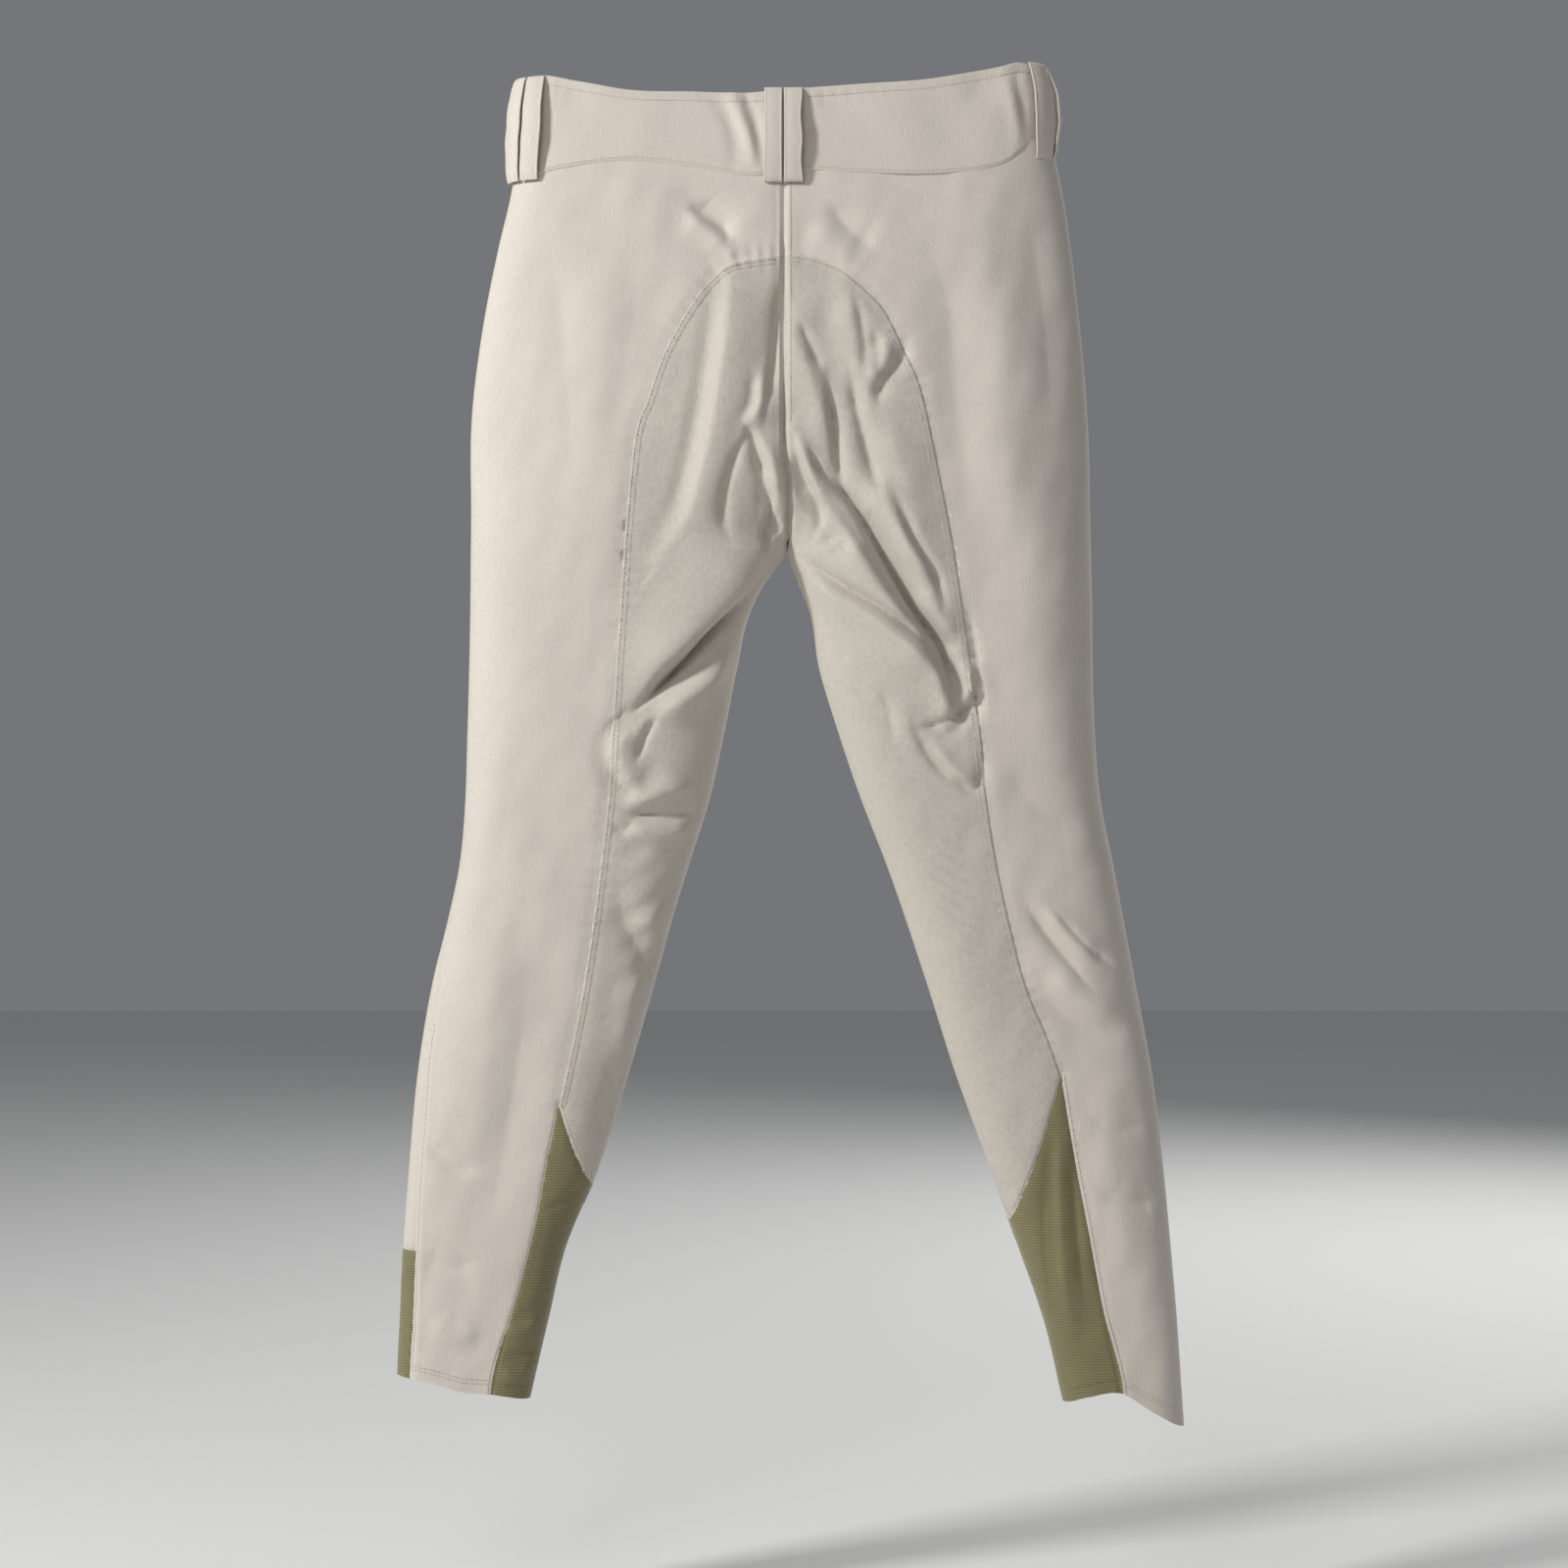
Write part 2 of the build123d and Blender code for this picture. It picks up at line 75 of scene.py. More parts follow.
OUTER = {
    LEFT: [(20, 180), (0, 181), (-40, 182), (-64, 185), (-110, 195), (-170, 206), (-228, 213),
           (-300, 213.5), (-359, 214), (-445, 216), (-500, 218), (-531, 221), (-570, 229),
           (-610, 239), (-676, 250), (-742, 256), (-795, 260), (-841, 262), (-903, 264)],
    RIGHT: [(20, 175), (0, 177), (-40, 179), (-64, 183), (-110, 193), (-170, 202), (-228, 207),
            (-300, 209), (-359, 210), (-445, 212), (-490, 216), (-531, 224), (-610, 239),
            (-676, 251), (-742, 259), (-795, 264), (-841, 268), (-903, 273)],
}
INNER = {
    LEFT: [(-322, -2), (-328, 3), (-336, 9), (-345, 15), (-359, 22), (-400, 32), (-445, 41),
           (-490, 51), (-531, 64), (-570, 76), (-610, 87), (-676, 106), (-742, 127),
           (-795, 149), (-841, 160), (-903, 173)],
    RIGHT: [(-322, 2), (-328, 4), (-336, 7.5), (-345, 11), (-359, 16.5), (-400, 24), (-440, 36),
            (-490, 53), (-531, 69), (-610, 96), (-676, 117), (-742, 141), (-795, 160),
            (-841, 176), (-903, 190)],
}
CENTRE = [(20, 0), (-60, 0), (-239, 0), (-275, 3), (-304, 3.5), (-322, 2)]
DEPTH = [(20, 17.3), (0, 19), (-60, 24), (-120, 29), (-180, 34), (-222, 37.5), (-260, 39.5),
         (-322, 40), (-367, 39), (-445, 36.5), (-531, 32.5), (-610, 29.5), (-676, 27.5),
         (-742, 25.5), (-795, 23.5), (-841, 21.5), (-903, 20)]
TOP_EDGE = [(-200, -4), (-186, -2), (-168, 2), (-142, -2), (-106, -8.6), (-60, -10), (-24, -10.6),
            (0, -8.5), (53, -4.6), (100, -1), (133, 4.6), (150, 8), (162, 11), (174, 9), (190, 6)]
BAND_SEAM = [(-200, -69), (-185, -69), (-145, -62), (-106, -57.5), (-60, -62), (-26, -68),
             (13, -64), (53, -66), (109, -66), (133, -63), (148, -58), (162, -48), (175, -42),
             (190, -40)]
HEM = {
    LEFT: [(-270, -880), (-259, -881), (-239, -884), (-218, -890), (-197, -892), (-172, -897),
           (-160, -899)],
    RIGHT: [(180, -898), (188, -899), (205, -894), (228, -891), (250, -904), (274, -916),
            (285, -918)],
}

# Seams seen on the back: across and height
SEAT_EDGE = {
    LEFT: [(0, -121), (-33, -126), (-50, -139), (-60, -152), (-72, -171), (-83, -193),
           (-92, -220), (-100, -243), (-106, -300), (-111, -373), (-115.5, -440), (-119, -492),
           (-127, -558), (-137, -624), (-148, -677), (-152, -695)],
    RIGHT: [(0, -121), (18, -124), (37, -131), (50, -141), (67, -158), (80, -184), (89, -203),
            (95, -223), (104, -267), (114, -320), (122, -373), (132, -440), (137, -492),
            (146, -545), (162, -610), (178, -650), (187, -676)],
}
SOCK_EDGE = {
    LEFT: [(-152, -695), (-146, -715), (-138, -736), (-130, -752), (-122, -766)],
    RIGHT: [(187, -676), (182, -694), (176, -715), (166, -744), (154, -774), (146, -790)],
}
SOCK_OUTER = {
    LEFT: [(-152, -695), (-159, -730), (-166, -769), (-172, -795), (-180, -825), (-192, -866),
           (-198, -897), (-199, -925)],
    RIGHT: [(187, -676), (196, -730), (206, -782), (215, -830), (223, -866), (229, -897),
            (231, -925)],
}
# The left leg's side seam, which turns onto the back below the knee. Outside it, below the front
# panel's end, the front of the sock shows.
SIDE_SEAM = [(-229, -560), (-235.5, -600), (-239, -640), (-243, -672), (-247, -735), (-250, -795),
             (-251.5, -840), (-253.5, -881), (-255, -925)]

# Folds on the back. Each is (height, broad flank, steep flank, which side is steep, points), the
# side being +1 for the right of the line as it runs. A negative height is a crease.
BACK_FOLDS = [
    (4.2, 26, 7, 1, [(-37, -118), (-36, -150), (-40, -189), (-47, -235), (-54, -268), (-64, -300),
                     (-84, -330)]),
    (-3.6, 7, 7, 1, [(-2, -130), (-5, -180), (-9, -212), (-14, -238)]),
    (3.0, 9, 4, 1, [(-14, -200), (-16, -226), (-27, -240)]),
    (-3.4, 5, 4, -1, [(-29, -236), (-22, -244), (-16, -262), (-12, -276)]),
    (3.2, 7, 5, 1, [(-18, -245), (-8, -262), (-5, -284), (-7, -300)]),
    (-2.4, 5, 5, 1, [(-22, -240), (-32, -258), (-39, -280), (-41, -300), (-36, -318)]),
    (-3.0, 4, 4, 1, [(-10, -296), (-4, -305), (-8, -312)]),
    (6.0, 26, 7, -1, [(-3, -304), (-13, -322), (-32, -350), (-58, -378), (-84, -404),
                      (-104, -424)]),
    (-9.0, 2.6, 6, 1, [(-12, -334), (-24, -352), (-38, -368), (-56, -387), (-76, -407),
                        (-99, -429)]),
    (4.5, 12, 9, 1, [(-24, -378), (-46, -404), (-70, -423), (-92, -437)]),
    (-2.6, 3, 4, 1, [(-85, -432), (-93, -447), (-99, -464)]),
    (-4.2, 3, 5, -1, [(-15, -276), (-10, -286), (-9, -298), (-12, -311), (-10, -324)]),
    (2.6, 10, 7, 1, [(-100, -440), (-110, -455), (-104, -474), (-92, -484)]),
    (-2.2, 5, 5, 1, [(-117, -466), (-108, -481), (-96, -487)]),
    (2.6, 8, 6, 1, [(-112, -490), (-95, -489), (-76, -482), (-60, -480)]),
    (-2.8, 3, 4, 1, [(-108, -497), (-90, -500), (-68, -500), (-50, -496)]),
    (2.0, 8, 6, 1, [(-110, -508), (-84, -512), (-56, -508)]),
    (-1.8, 4, 4, 1, [(-116, -506), (-108, -510), (-101, -504)]),
    (-2.0, 12, 10, 1, [(-112, -548), (-106, -575), (-86, -602), (-70, -615)]),
    (2.2, 12, 8, 1, [(-98, -560), (-80, -588), (-72, -600)]),
    (-1.8, 7, 6, 1, [(-64, -573), (-72, -588), (-92, -594)]),
    (1.8, 14, 10, 1, [(-100, -600), (-100, -640), (-108, -672)]),
    (-1.6, 8, 8, 1, [(-112, -655), (-116, -690), (-128, -720)]),
    (-2.6, 8, 5, 1, [(-64, -84), (-55, -94), (-42, -102), (-34, -112)]),
    (2.2, 9, 6, -1, [(-67, -92), (-50, -106), (-38, -120)]),
    (-1.4, 16, 16, 1, [(-160, -110), (-150, -170), (-143, -260)]),
    (1.6, 26, 26, 1, [(-118, -120), (-124, -220), (-130, -330)]),
    (-1.4, 22, 22, 1, [(-96, -130), (-105, -190), (-118, -260)]),
    (2.2, 12, 8, -1, [(8, -160), (16, -200), (26, -232), (32, -262)]),
    (-4.0, 6, 4, 1, [(29, -204), (34, -239), (36, -262), (40, -288)]),
    (3.2, 8, 5, 1, [(8, -240), (14, -262), (22, -280), (30, -296)]),
    (-4.2, 5, 5, 1, [(6, -247), (13, -272), (20, -284), (24, -300), (20, -312)]),
    (-3.6, 4, 4, 1, [(17, -252), (25, -268), (40, -284), (50, -296)]),
    (3.2, 14, 10, 1, [(46, -264), (66, -298), (86, -332), (104, -362), (120, -398)]),
    (-9.5, 2.4, 8, -1, [(30, -268), (43, -288), (54, -306), (68, -330), (86, -361), (103, -384),
                        (110, -404), (113, -428)]),
    (5.0, 15, 5, -1, [(30, -292), (50, -322), (68, -350), (90, -380), (102, -404), (107, -428)]),
    (-3.6, 6, 6, 1, [(44, -196), (50, -230), (58, -262), (66, -290)]),
    (3.4, 10, 8, 1, [(58, -262), (70, -292), (88, -322), (104, -346)]),
    (-4.2, 5, 4, 1, [(74, -284), (86, -312), (98, -332), (106, -352), (107, -364)]),
    (2.6, 9, 6, 1, [(84, -350), (98, -364), (116, -384)]),
    (-3.4, 2, 4, -1, [(5, -322), (34, -343), (63, -359), (92, -381), (104, -398)]),
    (3.6, 14, 5, -1, [(6, -330), (36, -352), (64, -370), (96, -398), (108, -424)]),
    (-2.6, 8, 8, 1, [(44, -326), (36, -312), (24, -318)]),
    (3.2, 8, 4, -1, [(102, -392), (112, -418), (112, -436), (96, -440)]),
    (-4.4, 6, 4, -1, [(88, -442), (104, -438), (118, -432), (128, -422), (133, -406)]),
    (3.4, 8, 6, 1, [(120, -394), (126, -412), (122, -428)]),
    (-1.7, 3, 4, 1, [(124, -360), (129, -390), (131, -420), (128, -446)]),
    (-1.7, 3, 5, -1, [(88, -442), (97, -460), (112, -478)]),
    (1.9, 6, 3, 1, [(100, -452), (116, -470), (132, -480)]),
    (-1.7, 3, 4, 1, [(112, -470), (124, -482), (132, -478), (133, -456)]),
    (-0.8, 4, 4, 1, [(46, -412), (56, -424), (70, -430)]),
    (-0.9, 5, 4, 1, [(64, -412), (71, -432), (74, -452)]),
    (0.9, 9, 7, 1, [(78, -420), (84, -446), (96, -460)]),
    (2.4, 12, 10, 1, [(42, -140), (52, -180), (58, -220)]),
    (-2.4, 6, 5, 1, [(48, -150), (53, -176), (54, -204)]),
    (-2.6, 7, 5, 1, [(26, -202), (20, -188), (10, -166)]),
    (-3.2, 6, 6, -1, [(84, -178), (76, -196), (66, -208), (62, -226)]),
    (2.6, 7, 6, 1, [(70, -176), (66, -198), (58, -214)]),
    (-2.0, 5, 5, 1, [(60, -172), (64, -190), (62, -206)]),
    (2.0, 14, 10, 1, [(70, -232), (84, -280), (98, -320)]),
    (-1.8, 22, 18, 1, [(98, -112), (112, -160), (116, -220), (126, -290)]),
    (2.2, 26, 20, 1, [(134, -96), (146, -170), (150, -250), (156, -330)]),
    (-1.6, 18, 18, 1, [(166, -90), (176, -160), (180, -230)]),
    (-2.4, 12, 10, 1, [(30, -86), (44, -104), (62, -118)]),
    (1.6, 16, 12, 1, [(20, -96), (34, -112), (52, -124)]),
    (-2.2, 6, 5, 1, [(163, -560), (180, -584), (208, -618)]),
    (2.2, 8, 6, 1, [(172, -558), (194, -580), (214, -600)]),
    (-2.0, 5, 5, 1, [(181, -562), (204, -588), (227, -604)]),
    (2.0, 12, 10, 1, [(176, -600), (200, -622), (232, -640)]),
    (-1.6, 9, 9, 1, [(168, -618), (200, -640), (240, -652)]),
    (1.6, 24, 20, 1, [(-190, -560), (-196, -640), (-206, -740)]),
    (-1.4, 14, 14, 1, [(-170, -590), (-182, -680), (-198, -780)]),
    (1.8, 30, 24, 1, [(170, -300), (176, -400), (186, -480)]),
    (-1.2, 16, 14, 1, [(150, -470), (176, -500), (206, -508)]),
    (1.6, 16, 14, 1, [(214, -660), (222, -740), (236, -820)]),
    (-1.3, 9, 8, 1, [(202, -700), (224, -712), (250, -706)]),
    (-1.3, 8, 8, 1, [(210, -752), (232, -762), (256, -758)]),
    (-1.4, 8, 6, 1, [(-244, -720), (-224, -738), (-204, -738)]),
    (-1.3, 8, 8, 1, [(-250, -800), (-226, -806), (-206, -800)]),
    (1.4, 10, 8, 1, [(-240, -840), (-222, -850), (-204, -846)]),
    (1.2, 7, 4, 1, [(186, -700), (187, -760), (190, -815), (196, -850)]),
    (-0.9, 4, 4, 1, [(194, -720), (198, -780), (203, -830)]),
    (-0.7, 4, 4, 1, [(176, -740), (176, -790), (184, -850)]),
    (1.1, 5, 4, 1, [(-166, -840), (-176, -848), (-190, -846)]),
    (-1.1, 4, 4, 1, [(-164, -858), (-178, -866), (-190, -862)]),
    (0.9, 5, 4, 1, [(-168, -874), (-180, -880), (-194, -876)]),
    (-0.9, 4, 5, 1, [(-136, -752), (-150, -762), (-162, -764)]),
]
# Folds on the front, softer: drag lines from the crotch and at the knees
FRONT_FOLDS = [
    (4.0, 18, 9, 1, [(-8, -300), (-34, -340), (-72, -380), (-108, -408)]),
    (-4.0, 7, 8, -1, [(-10, -322), (-40, -360), (-78, -396), (-104, -412)]),
    (3.6, 16, 9, -1, [(8, -300), (36, -336), (74, -378), (112, -410)]),
    (-3.8, 7, 8, 1, [(10, -320), (42, -358), (80, -394), (108, -414)]),
    (-2.6, 9, 8, 1, [(-14, -262), (-48, -286), (-92, -300)]),
    (-2.4, 9, 8, 1, [(14, -258), (50, -284), (96, -302)]),
    (2.4, 20, 16, 1, [(-60, -110), (-66, -200), (-84, -280)]),
    (2.2, 22, 16, 1, [(62, -110), (70, -200), (90, -290)]),
    (-2.0, 18, 16, 1, [(-120, -90), (-128, -190), (-136, -300)]),
    (-2.0, 18, 16, 1, [(118, -90), (128, -190), (138, -300)]),
    (-2.6, 8, 7, 1, [(-112, -560), (-150, -580), (-196, -576)]),
    (2.4, 12, 9, 1, [(-108, -590), (-150, -604), (-204, -598)]),
    (-2.4, 8, 8, 1, [(-120, -620), (-156, -632), (-206, -628)]),
    (-2.4, 8, 7, 1, [(116, -562), (152, -584), (200, -580)]),
    (2.4, 12, 9, 1, [(112, -592), (156, -606), (210, -600)]),
    (-2.2, 8, 8, 1, [(126, -622), (160, -634), (214, -630)]),
    (-1.8, 10, 8, 1, [(-170, -720), (-204, -734), (-236, -728)]),
    (-1.8, 10, 8, 1, [(174, -724), (208, -738), (244, -732)]),
    (1.8, 30, 22, 1, [(-140, -440), (-152, -520), (-168, -560)]),
    (1.8, 30, 22, 1, [(140, -440), (154, -520), (172, -560)]),
]


# Curves ----------------------------------------------------------------------------------------
def smooth(knots, at):
    """A cubic Hermite curve through (place, value) knots.

    value = h00 y0 + h10 h m0 + h01 y1 + h11 h m1, each slope m being the knots' own gradient.
    """
    place, value = np.array(sorted(knots), float).T
    slope = np.gradient(value, place)
    at = np.clip(at, place[0], place[-1])
    i = np.clip(np.searchsorted(place, at) - 1, 0, len(place) - 2)
    h = place[i + 1] - place[i]
    t = (at - place[i]) / h
    return ((2 * t**3 - 3 * t**2 + 1) * value[i] + (t**3 - 2 * t**2 + t) * h * slope[i]
            + (3 * t**2 - 2 * t**3) * value[i + 1] + (t**3 - t**2) * h * slope[i + 1])


def through(points, step=4.0):
    """A Catmull-Rom curve through points, as an array of points about step apart.

    p(t) = half of (2 b + (c - a) t + (2 a - 5 b + 4 c - d) t^2 + (3 b - a - 3 c + d) t^3).
    """
    p = np.array(points, float)
    p = np.vstack([2 * p[0] - p[1], p, 2 * p[-1] - p[-2]])
    parts = []
    for a, b, c, d in zip(p, p[1:], p[2:], p[3:]):
        count = max(2, int(np.linalg.norm(c - b) / step) + 1)
        t = np.arange(count)[:, None] / count
        parts.append(0.5 * (2 * b + (c - a) * t + (2 * a - 5 * b + 4 * c - d) * t**2
                            + (3 * b - a - 3 * c + d) * t**3))
    return np.vstack([*parts, p[-2:-1]])


def step_up(low, high, at):
    """A smooth step from 0 at low to 1 at high: t^2 (3 - 2 t)."""
    t = np.clip((at - low) / (high - low), 0, 1)
    return t * t * (3 - 2 * t)


# Fields over the flat garment, across by height ---------------------------------------------------
RASTER = 1.5  # spacing of the fields' points
FIELD_X = np.arange(-300, 300.1, RASTER)
FIELD_Z = np.arange(-945, 30.1, RASTER)
GRID_X, GRID_Z = np.meshgrid(FIELD_X, FIELD_Z)


def sample(field, x, z):
    """A field's value at points, bilinear between its four nearest nodes."""
    u = np.clip((x - FIELD_X[0]) / RASTER, 0, len(FIELD_X) - 1.001)
    v = np.clip((z - FIELD_Z[0]) / RASTER, 0, len(FIELD_Z) - 1.001)
    i, j = u.astype(int), v.astype(int)
    s, t = u - i, v - j
    return ((field[j, i] * (1 - s) + field[j, i + 1] * s) * (1 - t)
            + (field[j + 1, i] * (1 - s) + field[j + 1, i + 1] * s) * t)


def near_line(line, x, z):
    """Signed distance to a line (positive on its right), and how far along it the nearest place is.

    For each run from p to q: t = clip((a - p).(q - p) / |q - p|^2), distance = |a - p - t (q - p)|.
    """
    best = np.full(x.shape, 1e9)
    sign = np.ones(x.shape)
    along = np.zeros(x.shape)
    passed = 0.0
    for p, q in zip(line, line[1:]):
        run = q - p
        length = math.hypot(*run)
        dx, dz = x - p[0], z - p[1]
        t = np.clip((dx * run[0] + dz * run[1]) / length**2, 0, 1)
        d = np.hypot(dx - t * run[0], dz - t * run[1])
        closer = d < best
        best = np.where(closer, d, best)
        sign = np.where(closer, np.sign(dx * run[1] - dz * run[0] + 1e-9), sign)
        along = np.where(closer, passed + t * length, along)
        passed += length
    return best * sign, along, passed


def lay_folds(folds, strength):
    """The sum of folds as a field.

    Each is height x exp(-|d / flank|^k) across its line, d being the distance, flank the width on
    that side and k 1.8 for a ridge and 1.3 for a crease. It is tapered to nothing at both ends. A
    ridge also gets a shallow trough at its steep foot.
    """
    field = np.zeros(GRID_X.shape)
    for height, broad, steep, side, points in folds:
        line = through(points, 6.0)
        reach = 3 * max(broad, steep)
        i0, i1 = np.searchsorted(FIELD_X, [line[:, 0].min() - reach, line[:, 0].max() + reach])
        j0, j1 = np.searchsorted(FIELD_Z, [line[:, 1].min() - reach, line[:, 1].max() + reach])
        x, z = GRID_X[j0:j1, i0:i1], GRID_Z[j0:j1, i0:i1]
        d, along, length = near_line(line, x, z)
        d = d * side
        t = along / length
        taper = np.clip(np.minimum(t / 0.3, (1 - t) / 0.3), 0, 1)
        taper = taper * taper * (3 - 2 * taper) * 0.85 + 0.15
        width = np.where(d > 0, steep, broad) * (0.65 + 0.35 * taper)
        if height < 0:
            width = np.where(width < 7.5, 0.74 * width, width)
        shape = np.exp(-np.abs(d / width) ** (1.8 if height > 0 else 1.3))
        if height > 0:
            shape -= 0.34 * np.exp(-(((d - 1.8 * steep) / (0.9 * steep)) ** 2))
        field[j0:j1, i0:i1] += strength * height * shape * taper
    return field


def wander(seed, sizes, strength):
    """Gentle uneven waviness: a sum of seeded sine waves of the given lengths, every way."""
    rng = np.random.default_rng(seed)
    field = np.zeros(GRID_X.shape)
    for size in sizes:
        for _ in range(5):
            angle, phase = rng.uniform(0, 2 * math.pi, 2)
            k = 2 * math.pi / (size * rng.uniform(0.7, 1.3))
            wave = np.sin(k * (math.cos(angle) * GRID_X + math.sin(angle) * GRID_Z) + phase)
            field += strength * wave * size / max(sizes) / 3
    return field


def pucker(d, along, reach, pitch, strength, seed):
    """Ripples square to a seam: sin(2 pi along / pitch + drift) x exp(-(d / reach)^2)."""
    drift = 1.7 * np.sin(along / (pitch * 2.3) + seed) + 1.1 * np.sin(along / (pitch * 5.1) + seed)
    size = 0.6 + 0.4 * np.sin(along / (pitch * 3.7) + 2 * seed)
    ripple = np.sin(2 * math.pi * along / pitch + drift) * size
    return strength * ripple * np.exp(-((d / reach) ** 2))


def groove(d, width):
    """A seam's valley across it: -exp(-(d / width)^2)."""
    return -np.exp(-((d / width) ** 2))


class Cloth:
    """The fields of the whole garment, worked out once."""

    def __init__(self, strength):
        self.seams = {}
        self.push = {BACK: lay_folds(BACK_FOLDS, strength), FRONT: lay_folds(FRONT_FOLDS, strength)}
        self.push[BACK] += wander(3, (60, 25), 0.35 * strength)
        self.push[FRONT] += wander(8, (70, 30), 0.7 * strength)
        back, front = self.push[BACK], self.push[FRONT]
        for side in (LEFT, RIGHT):
            line = through(SEAT_EDGE[side])
            d, along, _ = near_line(line, GRID_X, GRID_Z)
            inside = d * side > 0  # the seat lies to the right of the left line, left of the other
            d = np.abs(d) * np.where(inside, 1, -1)
            own = step_up(-1, 1, GRID_X * side)
            self.seams["seat", side] = d
            back += own * (0.9 * groove(d, 1.6) + 0.45 * groove(d - 4.5, 1.7)
                           + 0.4 * groove(d + 3.5, 1.6) + pucker(d, along, 8, 9, 0.42, 1 + side))
            back += own * 0.5 * np.exp(-(((d - 2.2) / 2.2) ** 2))
            sock, walk, _ = near_line(through(SOCK_EDGE[side]), GRID_X, GRID_Z)
            self.seams["sock", side] = sock * side
            back += own * (0.9 * groove(sock, 1.5) + pucker(sock, walk, 6, 7, 0.3, 2))
            strip, walk, _ = near_line(through(SOCK_OUTER[side]), GRID_X, GRID_Z)
            self.seams["strip", side] = strip * side
            back += own * (0.9 * groove(strip, 1.5) + 0.3 * groove(strip + 4, 1.6)
                           + pucker(strip, walk, 7, 8, 0.35, 3))
            top = GRID_Z - SOCK_TOP
            front += own * (0.9 * groove(top, 1.5) + pucker(top, GRID_X, 7, 8, 0.35, 4))
        seam = through([(c, z) for z, c in CENTRE[1:]])
        d, walk, _ = near_line(seam, GRID_X, GRID_Z)
        deep = 1.6 + 3.2 * step_up(-90, -170, GRID_Z)
        back += deep * groove(d, 1.9) + 0.35 * groove(d - 5, 1.6) + pucker(d, walk, 9, 16, 0.3, 5)
        front += 1.0 * groove(d, 2.0) * step_up(-240, -262, GRID_Z)
        d, walk, _ = near_line(through(SIDE_SEAM), GRID_X, GRID_Z)
        band = np.minimum(d, SOCK_TOP - GRID_Z)
        self.seams["side", LEFT], self.seams["side", RIGHT] = band, band * 0 - 99
        back += 0.9 * groove(SOCK_TOP - GRID_Z, 1.5) * step_up(-1, 1, d)
        fade = step_up(-575, -610, GRID_Z)
        back += fade * (1.2 * groove(d, 1.8) + 0.5 * np.exp(-(((d + 4) / 3) ** 2))
                        + pucker(d, walk, 6, 10, 0.35, 6))
        self.thigh_ripples(back)
        calm = step_up(26, 60, np.abs(GRID_X)) + step_up(-236, -262, GRID_Z)
        front *= np.clip(calm, 0, 1)

    @staticmethod
    def thigh_ripples(back):
        """Small slanting ripples low on the right inner thigh: sine waves about 10 mm apart."""
        x, z = GRID_X, GRID_Z
        patch = np.exp(-(((x - 100) / 34) ** 2) - (((z + 572) / 66) ** 2))
        wave = np.sin(2 * math.pi * (z + 0.42 * x) / 9.5 + 2.2 * np.sin(x / 17) + np.sin(z / 23))
        back += 0.55 * patch * wave * (0.6 + 0.4 * np.sin(x / 9 + z / 31))
        patch = np.exp(-(((x + 88) / 26) ** 2) - (((z + 590) / 70) ** 2))
        wave = np.sin(2 * math.pi * (z - 0.5 * x) / 21 + 1.9 * np.sin(x / 19 + 1))
        back += 0.5 * patch * wave


# The skin --------------------------------------------------------------------------------------
def edges_at(side, v):
    """Across positions of the inner and outer edge of one side at a height."""
    outer = side * smooth(OUTER[side], v)
    leg = side * smooth(INNER[side], v)
    centre = smooth(CENTRE, v)
    inner = np.where(v < CROTCH, leg, centre)
    return inner, outer


def lens(side, phi, v):
    """Across position and depth share of the bare skin.

    q = (1 + sin phi) / 2 runs from the inner edge to the outer one, x = inner + (outer - inner) q.
    Over the hips the depth share is sqrt(1 - q^n), open at the centre; in a leg it is
    sqrt(1 - (2 q - 1)^4), closed at both edges. Above the crotch they mix as
    sqrt((1 - f) hips^2 + f leg^2), with f = t^2 at the middle, so that the skin closes under the
    crotch in a round saddle, and f = t^2 (3 - 2 t) elsewhere.
    """
    q = (1 + np.sin(phi)) / 2
    inner, outer = edges_at(side, v)
    x = inner + (outer - inner) * q
    n = 4 + 5 * step_up(-140, -20, v)
    hips = np.sqrt(np.clip(1 - q**n, 0, 1))
    leg = np.cos(phi) * np.sqrt(1 + np.sin(phi) ** 2)
    t = np.clip((CROTCH + 78 - v) / 78, 0, 1)
    fade = t * t + (t * t * (3 - 2 * t) - t * t) * step_up(0.0, 0.1, q)
    return x, np.sqrt(np.clip((1 - fade) * hips**2 + fade * leg**2, 0, 1))


def height_of(side, x, v):
    """Real height of a point of the flat pattern: the pattern bends to the band's seam and hem."""
    seam = smooth(BAND_SEAM, x) + 64
    z = v + seam * step_up(-190, -64, v)
    low = smooth(HEM[side], x) - LOWEST
    return z + low * step_up(-830, LOWEST, v)


def bare(side, face, phi, v):
    """The skin before its folds, as an array of points."""
    x, share = lens(side, phi, v)
    return np.stack([x, face * smooth(DEPTH, v) * share, height_of(side, x, v)], -1)


def turned(points, across, down, side, face):
    """Outward unit normals from neighbours a small step across and down."""
    n = np.cross(across - points, down - points)
    n /= np.linalg.norm(n, axis=-1, keepdims=True) + 1e-12
    return n * (side * face)


